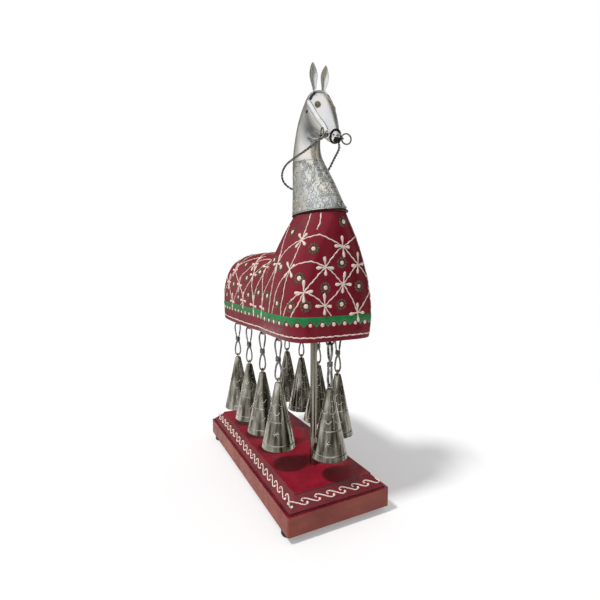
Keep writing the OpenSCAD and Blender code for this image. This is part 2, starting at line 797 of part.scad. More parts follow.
plinth();
rubber_feet();
support_rod();
rod_washer();
rod_nut();
body();
neck_core();
neck_shell();
neck_nails();
head();
ear_left();
ear_right();
browband();
cheek_strap_left();
cheek_strap_right();
noseband();
bit_bar();
bit_ring_left();
bit_ring_right();
rein();
hanger_staples();
for (i = BELLS) {
    link(i);
    bell(i);
    clapper(i);
}
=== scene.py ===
import math
import random

import bmesh
import bpy
from mathutils import Matrix, Vector
from mathutils.bvhtree import BVHTree


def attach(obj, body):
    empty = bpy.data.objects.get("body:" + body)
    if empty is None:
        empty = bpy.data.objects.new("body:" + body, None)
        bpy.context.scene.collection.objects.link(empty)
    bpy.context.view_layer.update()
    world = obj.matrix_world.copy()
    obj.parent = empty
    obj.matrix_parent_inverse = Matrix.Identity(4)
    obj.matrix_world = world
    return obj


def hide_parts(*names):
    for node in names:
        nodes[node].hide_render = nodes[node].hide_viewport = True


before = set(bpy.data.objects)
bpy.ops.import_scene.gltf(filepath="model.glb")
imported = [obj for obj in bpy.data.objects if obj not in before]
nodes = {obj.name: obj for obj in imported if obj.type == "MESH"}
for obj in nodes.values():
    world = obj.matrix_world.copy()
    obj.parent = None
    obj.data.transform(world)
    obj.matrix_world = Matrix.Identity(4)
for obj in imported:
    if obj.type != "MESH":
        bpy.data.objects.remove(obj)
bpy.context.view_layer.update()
scene = bpy.context.scene
scene.view_settings.view_transform = "Standard"
random.seed(7)

# Sizes in millimetres, as the CAD has them; MM turns them into metres.
MM = 0.001
PLINTH_L, PLINTH_W = 168.0, 72.0
LEDGE_W, BEVEL_W, BEVEL_RISE = 2.0, 6.5, 6.0
BLOCK_TOP, BEVEL_Z, BEVEL_TOP, FIELD_Z = 16.5, 17.5, 23.5, 24.5
BODY_Z, SEAT_Z = 114.5, 191.5
NECK_X = 54.0
LINK_MID_Z, LINK_L, LINK_W, STRAND_R = 98.0, 28.0, 4.4, 0.85
TWIST_REACH = 0.36
BELL_HINGE_Z, BELL_Z, BELL_H = 84.0, 39.65, 43.0
BELL_R, BELL_TOP_R, BELL_WALL = 11.25, 2.2, 0.7
BELL_ROOF = 40.0
CROWN_R, CROWN_WIRE_R = 1.35, 0.5
CLAPPER_BAR_Z, CLAPPER_BAR_R = 74.65, 0.5
FRONT_BELL = 8
# Where each bell hangs, as (x, y)
BELL_PLACES = {
    1: (-44.0, -23.0), 2: (-15.5, -23.0), 3: (13.0, -23.0), 4: (41.5, -23.0),
    5: (-44.0, 23.0), 6: (-15.5, 23.0), 7: (13.0, 23.0), 8: (69.0, 0.0), 9: (41.5, 23.0),
}
BIT_X, BIT_Z, REIN_EYE_Y = 68.8967, 235.558, 5.14128
REIN_EYE_R, REIN_WIRE_R, REIN_DIP = 1.25, 0.4, math.radians(40)
# Stations of the neck and head over the neck's seat, as the crest's (x, z), the throat's (x, z)
# and half the width
NECK_STATIONS = [
    (-25.5, 0, 25.5, 0, 13), (-27, 20, 11, 20, 10.5), (-28.5, 42, -3, 38, 8),
    (-21.5, 62, -5, 48, 7.2), (-10.5, 74, 0, 48.5, 7.6), (-1, 76.5, 5, 47.5, 8.4),
    (8, 69.5, 8.5, 45.5, 7.2), (14, 60, 12, 42.5, 5.4), (18.5, 51, 15.4, 40.5, 3.6),
    (21.3, 45.5, 18.7, 39.8, 3), (22.3, 43.2, 20.8, 40.6, 1.8),
]
NECK_FOOT, NECK_END, HEAD_END = 0.035, 3.0, 10.0
SECTION_POWER = 2.2
SHEET_T = 0.8
# The rein's route over the neck's seat, from the right side round behind the neck to the left
REIN_POINTS = [
    (8, -10, 39), (-1, -11, 37.5), (-13, -11.5, 36.5), (-26.5, -11, 35), (-36.5, -9, 31),
    (-41.5, -4.5, 26.5), (-39.5, 1.5, 22.5), (-31, 7.5, 21.5), (-20, 11.5, 25),
    (-9, 12, 30.5), (0.5, 11, 36), (9.5, 9, 40),
]


# Making and placing pieces

# Points closer than this, in metres, become one
MERGE_GAP = 1e-6
QUAD_FACE_ANGLE, QUAD_SHAPE_ANGLE = math.radians(40), math.radians(80)
SMOOTH_LEVELS = 2


def dress(obj, body, slot, *stands_for):
    """A piece rides on its body and may stand for CAD nodes, which it hides; the slot is not used.
    """
    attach(obj, body)
    if stands_for:
        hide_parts(*stands_for)
    return obj


def object_from(name, mesh, *materials):
    for mat in materials:
        mesh.materials.append(mat)
    obj = bpy.data.objects.new(name, mesh)
    scene.collection.objects.link(obj)
    return obj


def merge(bm):
    bmesh.ops.remove_doubles(bm, verts=bm.verts, dist=MERGE_GAP)


def mesh_from(name, bm, sharp=None):
    """Closes a bmesh into a smooth mesh; edges over the sharp angle, in degrees, stay crisp."""
    merge(bm)
    bmesh.ops.recalc_face_normals(bm, faces=bm.faces)
    mesh = bpy.data.meshes.new(name)
    bm.to_mesh(mesh)
    bm.free()
    mesh.shade_smooth()
    if sharp:
        mesh.set_sharp_from_angle(angle=math.radians(sharp))
    return mesh


def cad_copy(node):
    """The CAD node's mesh with its loose triangles joined up."""
    bm = bmesh.new()
    bm.from_mesh(nodes[node].data)
    merge(bm)
    return bm


def to_quads(bm):
    """Joins the CAD's triangles in pairs, so that the mesh smooths evenly."""
    bmesh.ops.join_triangles(
        bm, faces=bm.faces[:], angle_face_threshold=QUAD_FACE_ANGLE,
        angle_shape_threshold=QUAD_SHAPE_ANGLE)


def fill_ends(bm):
    """Caps the open rims of a bmesh and returns the caps."""
    rims = [e for e in bm.edges if len(e.link_faces) == 1]
    return bmesh.ops.holes_fill(bm, edges=rims, sides=0)["faces"]


def soften(obj):
    mod = obj.modifiers.new("smooth", "SUBSURF")
    mod.levels = mod.render_levels = SMOOTH_LEVELS


def skin_of(obj):
    """Search tree of a piece as it is shown, its modifiers included."""
    return BVHTree.FromObject(obj, bpy.context.evaluated_depsgraph_get())


def tube_mesh(name, lines, sides, closed=False):
    """Lines of (point, radius), in metres, as round tubes in one mesh."""
    curve = bpy.data.curves.new(name, "CURVE")
    curve.dimensions = "3D"
    curve.bevel_depth = 1.0
    curve.bevel_resolution = (sides - 4) // 2
    curve.use_fill_caps = not closed
    for line in lines:
        spline = curve.splines.new("POLY")
        spline.points.add(len(line) - 1)
        for point, (place, radius) in zip(spline.points, line):
            point.co = (place[0], place[1], place[2], 1.0)
            point.radius = radius
        spline.use_cyclic_u = closed
        spline.use_smooth = True
    holder = bpy.data.objects.new(name, curve)
    scene.collection.objects.link(holder)
    shown = holder.evaluated_get(bpy.context.evaluated_depsgraph_get())
    mesh = bpy.data.meshes.new_from_object(shown)
    bpy.data.objects.remove(holder)
    bpy.data.curves.remove(curve)
    mesh.shade_smooth()
    return mesh


def grid_loft(bm, columns, rows, place):
    """A grid whose points go where place(u, v) says, u and v running from 0 to 1."""
    made = bmesh.ops.create_grid(bm, x_segments=columns, y_segments=rows, size=0.5)
    for vert in made["verts"]:
        vert.co = place(round((vert.co.x + 0.5) * columns) / columns,
                        round((vert.co.y + 0.5) * rows) / rows)


def standing(place, out, along):
    """Frame that stands a shape on a surface, with its X along a direction."""
    side = out.cross(along).normalized()
    return Matrix.Translation(place) @ Matrix((side.cross(out), side, out)).transposed().to_4x4()


def blob(bm, place, out, radius, height, segments=10, rings=6, along=None, stretch=1.0):
    """A flattened drop that stands on a surface."""
    shape = standing(place, out, along or out.orthogonal())
    shape = shape @ Matrix.Diagonal((radius * stretch, radius, height, 1))
    bmesh.ops.create_uvsphere(bm, u_segments=segments, v_segments=rings, radius=1, matrix=shape)


def loop_line(middle, wide, high, wire, count):
    """Points and radii of a closed wire loop, from its middle and its two half-axes."""
    turns = [math.tau * k / count for k in range(count)]
    return [(middle + wide * math.cos(a) + high * math.sin(a), wire) for a in turns]


def spline_at(points, t):
    """Smooth curve through a list of points, at place t."""
    last = len(points) - 1
    i = min(max(int(math.floor(t)), 0), last - 1)
    u = t - i
    a, b = points[max(i - 1, 0)], points[i]
    c, d = points[i + 1], points[min(i + 2, last)]
    return [
        0.5 * (2 * q + (r - p) * u + (2 * p - 5 * q + 4 * r - s) * u * u
               + (3 * q - p - 3 * r + s) * u ** 3)
        for p, q, r, s in zip(a, b, c, d)
    ]


SPAN_STEPS = 24


def path_through(points, step):
    """Points in metres about one step apart along the curve through points in millimetres."""
    count = SPAN_STEPS * (len(points) - 1)
    dense = [Vector(spline_at(points, k / SPAN_STEPS)) for k in range(count + 1)]
    path, left = [dense[0]], step
    for a, b in zip(dense, dense[1:]):
        length = (b - a).length
        while length > left:
            a = a.lerp(b, left / length)
            path.append(a)
            length = (b - a).length
            left = step
        left -= length
    if (path[-1] - dense[-1]).length > step / 3:
        path.append(dense[-1])
    else:
        path[-1] = dense[-1]
    return [p * MM for p in path]


def signed_power(v, e):
    return math.copysign(abs(v) ** e, v)


def neck_at(t, v, out=0.0):
    """Point of the neck or head at station t and angle v in degrees, in metres."""
    s = spline_at(NECK_STATIONS, t)
    crest, throat = Vector((s[0], s[1])), Vector((s[2], s[3]))
    mid, half = (crest + throat) / 2, (crest - throat).length / 2
    way = (crest - throat) / (2 * half)
    along = (half + out) * signed_power(math.cos(math.radians(v)), 2 / SECTION_POWER)
    side = (s[4] + out) * signed_power(math.sin(math.radians(v)), 2 / SECTION_POWER)
    return Vector((NECK_X + mid.x + way.x * along, side, SEAT_Z + mid.y + way.y * along)) * MM


# Small steps along the neck and round it, over which its directions are taken
STEP_T, STEP_V, HEAD_STEP_T = 0.02, 1, 0.05


def neck_out(t, v):
    """Outward direction of the neck or head."""
    along = neck_at(t + STEP_T, v) - neck_at(t - STEP_T, v)
    round_it = neck_at(t, v + STEP_V) - neck_at(t, v - STEP_V)
    return along.cross(round_it).normalized()


def neck_along(t, v):
    """Direction in which the neck or head runs."""
    return (neck_at(t + HEAD_STEP_T, v) - neck_at(t - HEAD_STEP_T, v)).normalized()


# Finishes

VECTOR_MATHS, NUMBER_MATHS = "ShaderNodeVectorMath", "ShaderNodeMath"
# The middle of a noise's values, which a finish spreads over its own range
NOISE_RANGE = (0.3, 0.7)


def coords_of(tree):
    """The piece's own coordinates."""
    return tree.nodes.new("ShaderNodeTexCoord").outputs["Object"]


def maths(tree, kind, operation, *sources):
    """The outputs of a maths node; a source is a socket or a fixed value."""
    made = tree.nodes.new(kind)
    made.operation = operation
    for socket, source in zip(made.inputs, sources):
        if isinstance(source, bpy.types.NodeSocket):
            tree.links.new(source, socket)
        else:
            socket.default_value = source
    return made.outputs


def carry(tree, source, start=(0, 1), end=(0, 1), smooth=False):
    """Carries a value from one range over to another."""
    made = tree.nodes.new("ShaderNodeMapRange")
    made.interpolation_type = "SMOOTHSTEP" if smooth else "LINEAR"
    for name, limits in (("From", start), ("To", end)):
        for end_name, value in zip(("Min", "Max"), limits):
            made.inputs[f"{name} {end_name}"].default_value = value
    tree.links.new(source, made.inputs["Value"])
    return made.outputs["Result"]


def blend(tree, share, first, colour):
    """Goes from a colour socket to a fixed colour."""
    made = tree.nodes.new("ShaderNodeMixRGB")
    made.inputs["Color2"].default_value = (*colour, 1)
    tree.links.new(share, made.inputs["Fac"])
    tree.links.new(first, made.inputs["Color1"])
    return made.outputs["Color"]


def shader_of(mat):
    return mat.node_tree.nodes["Principled BSDF"]


def material(name, colour, metallic=0.0, roughness=0.5, gloss=0.5):
    mat = bpy.data.materials.new(name)
    mat.use_nodes = True
    inputs = shader_of(mat).inputs
    inputs["Base Color"].default_value = (*colour, 1)
    inputs["Metallic"].default_value = metallic
    inputs["Roughness"].default_value = roughness
    inputs["Specular IOR Level"].default_value = gloss
    return mat


def noise(mat, scale, upright=1.0, detail=3.0):
    """Noise with a scale per metre; upright packs it or draws it out along Z."""
    tree = mat.node_tree
    mapping = tree.nodes.new("ShaderNodeMapping")
    mapping.inputs["Scale"].default_value = (1, 1, upright)
    texture = tree.nodes.new("ShaderNodeTexNoise")
    texture.inputs["Scale"].default_value = scale
    texture.inputs["Detail"].default_value = detail
    tree.links.new(coords_of(tree), mapping.inputs["Vector"])
    tree.links.new(mapping.outputs["Vector"], texture.inputs["Vector"])
    return texture.outputs["Fac"]


def tint(mat, source, stops):
    """Base colours over a value; a stop is (place, colour)."""
    tree = mat.node_tree
    made = tree.nodes.new("ShaderNodeValToRGB")
    marks = made.color_ramp.elements
    for mark, (place, colour) in zip(marks, (stops[0], stops[-1])):
        mark.position = place
        mark.color = (*colour, 1)
    for place, colour in stops[1:-1]:
        marks.new(place).color = (*colour, 1)
    tree.links.new(source, made.inputs["Fac"])
    tree.links.new(made.outputs["Color"], shader_of(mat).inputs["Base Color"])


def roughen(mat, source, low, high):
    tree = mat.node_tree
    level = carry(tree, source, NOISE_RANGE, (low, high))
    tree.links.new(level, shader_of(mat).inputs["Roughness"])


def dent(mat, source, strength, depth):
    """Small unevenness of the surface; the depth is in millimetres."""
    tree = mat.node_tree
    bump = tree.nodes.new("ShaderNodeBump")
    bump.inputs["Strength"].default_value = strength
    bump.inputs["Distance"].default_value = depth * MM
    tree.links.new(source, bump.inputs["Height"])
    tree.links.new(bump.outputs["Normal"], shader_of(mat).inputs["Normal"])


def paint_shade(mat, place, reach, colour):
    """Paints shade on a finish: darkens it round a place and its mirror image across the middle, in
    millimetres.
    """
    tree = mat.node_tree
    base = shader_of(mat).inputs["Base Color"]
    plain = base.links[0].from_socket
    half = maths(tree, VECTOR_MATHS, "ABSOLUTE", coords_of(tree))["Vector"]
    far = maths(tree, VECTOR_MATHS, "DISTANCE", half, Vector(place) * MM)["Value"]
    near = carry(tree, far, (0, reach * MM), (1, 0), smooth=True)
    tree.links.new(blend(tree, near, plain, colour), base)


def paint_from_middle(mat, inner, outer, stops):
    """Bare metal over the middle, paint towards the sides; the two distances are in millimetres."""
    tree = mat.node_tree
    split = tree.nodes.new("ShaderNodeSeparateXYZ")
    tree.links.new(coords_of(tree), split.inputs["Vector"])
    side = maths(tree, NUMBER_MATHS, "ABSOLUTE", split.outputs["Y"])["Value"]
    border = (inner * MM, outer * MM)
    tint(mat, carry(tree, side, border), stops)
    tree.links.new(carry(tree, side, border, (1, 0)), shader_of(mat).inputs["Metallic"])


def finish(name, colour, mottle, stops, rough=None, dents=None, **look):
    """A finish that noise makes uneven.

    A noise is (scale, upright, detail). mottle is the noise that the stops colour, rough is
    (noise, low, high) and dents is (noise, strength, depth).
    """
    mat = material(name, colour, **look)
    tint(mat, noise(mat, *mottle), stops)
    if rough:
        roughen(mat, noise(mat, *rough[0]), *rough[1:])
    if dents:
        dent(mat, noise(mat, *dents[0]), *dents[1:])
    return mat


# Paint and enamel

crimson = finish(
    "crimson_enamel", (0.215, 0.002, 0.015), (70, 0.35, 5),
    [(0.3, (0.17, 0.001, 0.010)), (0.5, (0.215, 0.002, 0.015)), (0.72, (0.27, 0.004, 0.025))],
    rough=((220, 1, 5), 0.22, 0.42), dents=((500, 1, 3), 0.12, 0.1), roughness=0.26, gloss=0.36)
plinth_red = finish(
    "plinth_enamel", (0.28, 0.006, 0.022), (80, 2.5, 5),
    [(0.3, (0.23, 0.005, 0.017)), (0.5, (0.28, 0.006, 0.022)), (0.72, (0.34, 0.009, 0.03))],
    rough=((260, 1, 5), 0.28, 0.5), dents=((420, 3), 0.15, 0.12), roughness=0.36, gloss=0.2)
# A darker copy of the field's red, which paints the shade on the slopes and the ledge
shaded_border_red = finish(
    "shaded_border_enamel", (0.16, 0.005, 0.013), (90, 2, 5),
    [(0.3, (0.12, 0.004, 0.009)), (0.5, (0.16, 0.005, 0.013)), (0.72, (0.22, 0.009, 0.02))],
    rough=((260, 1, 5), 0.2, 0.38), roughness=0.28, gloss=0.6)
plinth_side = finish(
    "plinth_side_enamel", (0.27, 0.060, 0.041), (45, 2, 5),
    [(0.3, (0.22, 0.042, 0.031)), (0.5, (0.27, 0.060, 0.041)), (0.72, (0.33, 0.086, 0.056))],
    rough=((240, 1, 5), 0.36, 0.58), dents=((380, 3), 0.15, 0.12), roughness=0.46, gloss=0.3)
# Lighter pink of the rounded edges: wear on the paint, and a painted highlight
worn_and_lit_edge = finish(
    "worn_and_lit_edge", (0.46, 0.16, 0.14), (260, 1, 5),
    [(0.35, (0.30, 0.03, 0.04)), (0.55, (0.46, 0.17, 0.15)), (0.7, (0.60, 0.34, 0.30))],
    roughness=0.42)
# Near-black red on the small upright steps of the plinth, which paints the shade in these recesses
step_shade = finish(
    "painted_step_shade", (0.075, 0.008, 0.012), (300,),
    [(0.3, (0.05, 0.006, 0.009)), (0.7, (0.12, 0.012, 0.018))], roughness=0.6)
cream = finish(
    "cream_paint", (0.93, 0.77, 0.67), (320,),
    [(0.3, (0.88, 0.68, 0.55)), (0.5, (0.94, 0.78, 0.68)), (0.7, (0.95, 0.83, 0.76))],
    roughness=0.42)
green = finish(
    "green_paint", (0.007, 0.21, 0.05), (160, 0.4, 5),
    [(0.3, (0.004, 0.14, 0.034)), (0.5, (0.007, 0.21, 0.05)), (0.7, (0.012, 0.28, 0.075))],
    roughness=0.36)
olive = finish(
    "olive_paint", (0.085, 0.078, 0.038), (500,),
    [(0.3, (0.05, 0.05, 0.022)), (0.7, (0.13, 0.12, 0.062))], roughness=0.4)

# Metal

silver = finish(
    "silver_sheet", (0.80, 0.79, 0.76), (45, 1, 5),
    [(0.32, (0.66, 0.68, 0.68)), (0.5, (0.80, 0.79, 0.77)), (0.66, (0.88, 0.81, 0.66))],
    rough=((380, 1, 5), 0.22, 0.4), dents=((200, 1, 2), 0.15, 0.2), metallic=1.0, roughness=0.3)
chased_silver = finish(
    "chased_silver", (0.76, 0.77, 0.75), (70, 1, 6),
    [(0.32, (0.60, 0.64, 0.63)), (0.5, (0.76, 0.77, 0.74)), (0.66, (0.87, 0.81, 0.68))],
    rough=((420, 1, 5), 0.24, 0.42), dents=((420, 1, 3), 0.22, 0.2), metallic=1.0, roughness=0.32)
# Bright silver of the cheek straps and bridle rings, and of the painted highlight beside each
# engraved line
bright_silver = finish(
    "bright_silver", (0.88, 0.88, 0.86), (300,),
    [(0.3, (0.78, 0.78, 0.76)), (0.7, (0.92, 0.91, 0.88))], metallic=1.0, roughness=0.24)
engraved = finish(
    "engraved_silver", (0.36, 0.37, 0.36), (300,),
    [(0.3, (0.26, 0.28, 0.27)), (0.7, (0.46, 0.46, 0.43))], metallic=1.0, roughness=0.36)
# Dark silver: the eye rims and strap edges, and the painted shade on the backs of the ears
dark_silver_and_shade = finish(
    "dark_and_shaded_silver", (0.30, 0.31, 0.30), (400,),
    [(0.3, (0.20, 0.21, 0.20)), (0.7, (0.42, 0.42, 0.40))], metallic=1.0, roughness=0.42)
# Pewter toned from near black to pale grey in upright streaks: uneven metal, with reflection streaks
# painted into the colour
pewter = finish(
    "pewter", (0.35, 0.33, 0.28), (250, 0.07, 4),
    [(0.32, (0.055, 0.048, 0.036)), (0.45, (0.20, 0.183, 0.145)), (0.55, (0.36, 0.34, 0.285)),
     (0.68, (0.62, 0.60, 0.54))],
    rough=((300, 0.15, 3), 0.12, 0.24), dents=((160, 0.3, 1), 0.12, 0.15),
    metallic=1.0, roughness=0.18)
# Bright metal of the scratched marks, and of the rings of painted glint along the turned lines
glint_and_scratch = finish(
    "bright_scratch_and_glint", (0.80, 0.78, 0.72), (900,),
    [(0.3, (0.62, 0.60, 0.54)), (0.7, (0.88, 0.86, 0.80))], metallic=1.0, roughness=0.34)
steel = finish(
    "steel", (0.27, 0.25, 0.20), (300, 0.1, 5),
    [(0.3, (0.20, 0.185, 0.15)), (0.7, (0.34, 0.31, 0.25))],
    rough=((500, 0.1, 4), 0.18, 0.32), metallic=1.0, roughness=0.26)
dark_wire = finish(
    "dark_wire", (0.24, 0.235, 0.22), (500, 1, 4),
    [(0.35, (0.12, 0.118, 0.11)), (0.65, (0.36, 0.35, 0.33))], metallic=1.0, roughness=0.2)
rein_wire = finish(
    "rein_wire", (0.15, 0.145, 0.14), (400, 1, 4),
    [(0.35, (0.09, 0.087, 0.084)), (0.65, (0.24, 0.235, 0.225))], metallic=1.0, roughness=0.32)

# Band, rubber, wood and eyes

black = finish(
    "black_band", (0.012, 0.012, 0.013), (400,),
    [(0.3, (0.008, 0.008, 0.009)), (0.7, (0.024, 0.023, 0.023))], roughness=0.5, gloss=0.12)
rubber = finish(
    "rubber", (0.02, 0.02, 0.02), (500,),
    [(0.3, (0.013, 0.013, 0.014)), (0.7, (0.034, 0.033, 0.033))], roughness=0.8)
wood = finish(
    "bare_wood", (0.45, 0.27, 0.12), (200, 0.1, 4),
    [(0.3, (0.33, 0.18, 0.08)), (0.7, (0.52, 0.32, 0.16))], roughness=0.7)
eye_brown = finish(
    "eye_brown", (0.11, 0.085, 0.035), (900,),
    [(0.35, (0.05, 0.037, 0.014)), (0.65, (0.19, 0.15, 0.065))], roughness=0.2)

# Painted shade on the upper neck under the jaw, where the head shades it
JAW_PLACE, JAW_REACH, JAW_SHADE = (52.0, 6.0, 243.0), 13.0, (0.22, 0.23, 0.23)
paint_shade(silver, JAW_PLACE, JAW_REACH, JAW_SHADE)
# Near-black painted shade on the front of the neck's foot, which faces away from the light
FOOT_PLACE, FOOT_REACH, FOOT_SHADE = (80.5, 1.0, 192.5), 10.0, (0.02, 0.02, 0.02)
paint_shade(chased_silver, FOOT_PLACE, FOOT_REACH, FOOT_SHADE)

BAND_SILVER_Y, BAND_BLACK_Y = 3.8, 5.0
BAND_SILVER, BAND_BLACK = (0.55, 0.56, 0.52), (0.012, 0.012, 0.013)
browband_finish = material("browband_finish", BAND_BLACK, roughness=0.4)
paint_from_middle(browband_finish, BAND_SILVER_Y, BAND_BLACK_Y,
                  [(0.0, BAND_SILVER), (1.0, BAND_BLACK)])

NODE_MATERIALS = {
    "plinth": plinth_red, "rubber_feet": rubber, "support_rod": steel, "rod_washer": steel,
    "rod_nut": steel, "body": crimson, "neck_core": wood, "neck_shell": silver,
    "neck_nails": silver, "head": silver, "ear_left": silver, "ear_right": silver,
    "browband": browband_finish, "noseband": black, "cheek_strap_left": bright_silver,
    "cheek_strap_right": bright_silver, "bit_bar": dark_wire, "bit_ring_left": dark_wire,
    "bit_ring_right": dark_wire, "rein": rein_wire, "hanger_staples": dark_wire,
}
for i in BELL_PLACES:
    NODE_MATERIALS[f"link_{i}"] = dark_wire
    NODE_MATERIALS[f"bell_{i}"] = pewter
    NODE_MATERIALS[f"clapper_{i}"] = steel
for name, mat in NODE_MATERIALS.items():
    slots = nodes[name].data.materials
    slots.clear()
    slots.append(mat)


# Camera, light and floor

CAMERA_PLACE = (279.3, -126.6, 158.4)
CAMERA_DIP, CAMERA_TURN = 4.7, 63.3
LENS, SENSOR, CLIP_START = 24, 36, 0.01
SUN_WAY = (-0.05, 0.48, -0.876)
SUN_LEVEL, SUN_ANGLE, FILL_LEVEL = 2.1, 8, 0.42
FLOOR_GREY, FLOOR_GLOW, FLOOR_REACH = 0.78, 0.26, 0.45

camera = bpy.data.objects.new("camera", bpy.data.cameras.new("camera"))
camera.data.lens, camera.data.sensor_width = LENS, SENSOR
camera.data.clip_start = CLIP_START
camera.location = Vector(CAMERA_PLACE) * MM
camera.rotation_euler = (math.radians(90 - CAMERA_DIP), 0, math.radians(CAMERA_TURN))
scene.collection.objects.link(camera)
scene.camera = camera

# The sun isn't mirrored in shiny surfaces, which show the room instead
sun = bpy.data.objects.new("sun", bpy.data.lights.new("sun", "SUN"))
sun.data.energy = SUN_LEVEL
sun.data.angle = math.radians(SUN_ANGLE)
sun.visible_glossy = False
sun.rotation_euler = Vector(SUN_WAY).to_track_quat("-Z", "Y").to_euler()
scene.collection.objects.link(sun)

# The room that metal mirrors: light and dark strips round the horizon, as (compass angle,
# brightness), and a bright ceiling towards one corner
ROOM_STRIPS = [
    (-180, 0.12), (-165, 0.30), (-152, 0.55), (-120, 0.75), (-90, 0.98), (-74, 0.70), (-60, 0.15),
    (-45, 0.07), (-34, 0.25), (-26, 0.70), (-18, 0.20), (-5, 0.08), (8, 0.25), (17, 0.70),
    (25, 0.25), (36, 0.03), (46, 0.15), (60, 0.52), (75, 0.30), (88, 0.05), (108, 0.05),
    (130, 0.50), (152, 0.55), (168, 0.12), (180, 0.12),
]
ROOM_GREEN, DARK_BLUE = 0.985, 0.86
CEILING_WAY = (0.15, -0.50, 0.85)
CEILING_FROM, CEILING_TO = 0.44, 0.60
CEILING_COLOUR = (0.96, 0.97, 1.0)


def room_colour(level):
    """Bright strips are nearly white, dark ones a little brown."""
    blue = DARK_BLUE + (1 - DARK_BLUE) * min(level, 1)
    return level, level * ROOM_GREEN, level * blue, 1


def make_world():
    """White to the camera, an even fill for the light, and the room for mirroring."""
    world = bpy.data.worlds.new("room")
    scene.world = world
    world.use_nodes = True
    tree = world.node_tree
    tree.nodes.clear()
    new, link = tree.nodes.new, tree.links.new
    compass, strips = new("ShaderNodeTexGradient"), new("ShaderNodeValToRGB")
    compass.gradient_type = "RADIAL"
    strips.color_ramp.interpolation = "EASE"
    stops = strips.color_ramp.elements
    stops.remove(stops[0])
    for k, (angle, level) in enumerate(ROOM_STRIPS):
        stop = stops[0] if k == 0 else stops.new(angle / 360 + 0.5)
        stop.position = angle / 360 + 0.5
        stop.color = room_colour(level)
    way = coords_of(tree)
    link(way, compass.inputs["Vector"])
    link(compass.outputs["Fac"], strips.inputs["Fac"])
    facing = maths(tree, VECTOR_MATHS, "DOT_PRODUCT", way, CEILING_WAY)["Value"]
    rise = carry(tree, facing, (CEILING_FROM, CEILING_TO), smooth=True)
    fill, white, mirror = (new("ShaderNodeBackground") for _ in range(3))
    fill.inputs["Strength"].default_value = FILL_LEVEL
    for plain in (fill, white):
        plain.inputs["Color"].default_value = (1, 1, 1, 1)
    link(blend(tree, rise, strips.outputs["Color"], CEILING_COLOUR), mirror.inputs["Color"])
    path = new("ShaderNodeLightPath").outputs
    shown = fill.outputs[0]
    for ray, light in (("Is Glossy Ray", mirror), ("Is Camera Ray", white)):
        choice = new("ShaderNodeMixShader")
        link(path[ray], choice.inputs["Fac"])
        link(shown, choice.inputs[1])
        link(light.outputs[0], choice.inputs[2])
        shown = choice.outputs[0]
    link(shown, new("ShaderNodeOutputWorld").inputs["Surface"])


def make_floor():
    """A pale floor that takes the shadow and shows white to the camera and to metal."""
    bm = bmesh.new()
    bmesh.ops.create_grid(bm, x_segments=1, y_segments=1, size=FLOOR_REACH)
    mat = bpy.data.materials.new("white_floor")
    mat.use_nodes = True
    tree = mat.node_tree
    tree.nodes.clear()
    new, link = tree.nodes.new, tree.links.new
    path = new("ShaderNodeLightPath").outputs
    seen = path["Is Camera Ray"]
    for ray in ("Is Glossy Ray", "Is Transmission Ray"):
        seen = maths(tree, NUMBER_MATHS, "MAXIMUM", seen, path[ray])["Value"]
    cloth, glow = new("ShaderNodeBsdfDiffuse"), new("ShaderNodeEmission")
    cloth.inputs["Color"].default_value = (FLOOR_GREY, FLOOR_GREY, FLOOR_GREY, 1)
    link(carry(tree, seen, end=(0, FLOOR_GLOW)), glow.inputs["Strength"])
    both = new("ShaderNodeAddShader")
    link(cloth.outputs[0], both.inputs[0])
    link(glow.outputs[0], both.inputs[1])
    link(both.outputs[0], new("ShaderNodeOutputMaterial").inputs["Surface"])
    object_from("floor", mesh_from("floor", bm), mat)


make_world()
make_floor()


# The plinth: crisp edges softly rounded, and a painted vine of scrolls on its border

EDGE_ROUND, EDGE_CRISP = 0.35, 5
STEEP, LEVEL = 0.3, 0.95
FLAT_ANGLE, SHARP_ANGLE, SHARP_LENGTH = math.radians(1), math.radians(25), 8
PLINTH_FINISHES = (plinth_red, plinth_side, worn_and_lit_edge, step_shade, shaded_border_red)
FIELD, SIDE, WORN_AND_LIT, STEP, BORDER = range(len(PLINTH_FINISHES))


def plinth_finish(face):
    """Which finish a face of the plinth has: field, border, side, or a step darkened with painted
    shade.
    """
    z = face.calc_center_median().z / MM
    if abs(face.normal.z) > STEEP:
        # Slopes and ledge take the darker red of painted shade
        return FIELD if abs(face.normal.z) > LEVEL and z > BEVEL_Z else BORDER
    if BLOCK_TOP < z < BEVEL_Z or BEVEL_TOP < z < FIELD_Z:
        # The small upright steps take the painted shade
        return STEP
    return SIDE if z < BLOCK_TOP else FIELD


def make_plinth():
    """The CAD's block, with its long edges rounded and painted lighter, as wear and painted
    highlight.
    """
    bm = cad_copy("plinth")
    bmesh.ops.dissolve_limit(
        bm, angle_limit=FLAT_ANGLE, use_dissolve_boundaries=False,
        verts=bm.verts[:], edges=bm.edges[:])
    bm.normal_update()
    for face in bm.faces:
        face.material_index = plinth_finish(face)
    sharp = [e for e in bm.edges
             if len(e.link_faces) == 2 and e.calc_face_angle() > SHARP_ANGLE
             and e.calc_length() > SHARP_LENGTH * MM]
    made = bmesh.ops.bevel(bm, geom=sharp, offset=EDGE_ROUND * MM, offset_type="OFFSET", segments=2,
                           profile=0.5, affect="EDGES", material=-1, clamp_overlap=True)
    # The rounded edges take the lighter pink of wear and painted highlight
    for face in made["faces"]:
        face.material_index = WORN_AND_LIT
    mesh = mesh_from("plinth_block", bm, sharp=EDGE_CRISP)
    dress(object_from("plinth_block", mesh, *PLINTH_FINISHES), "stand", "plinth_paint", "plinth")


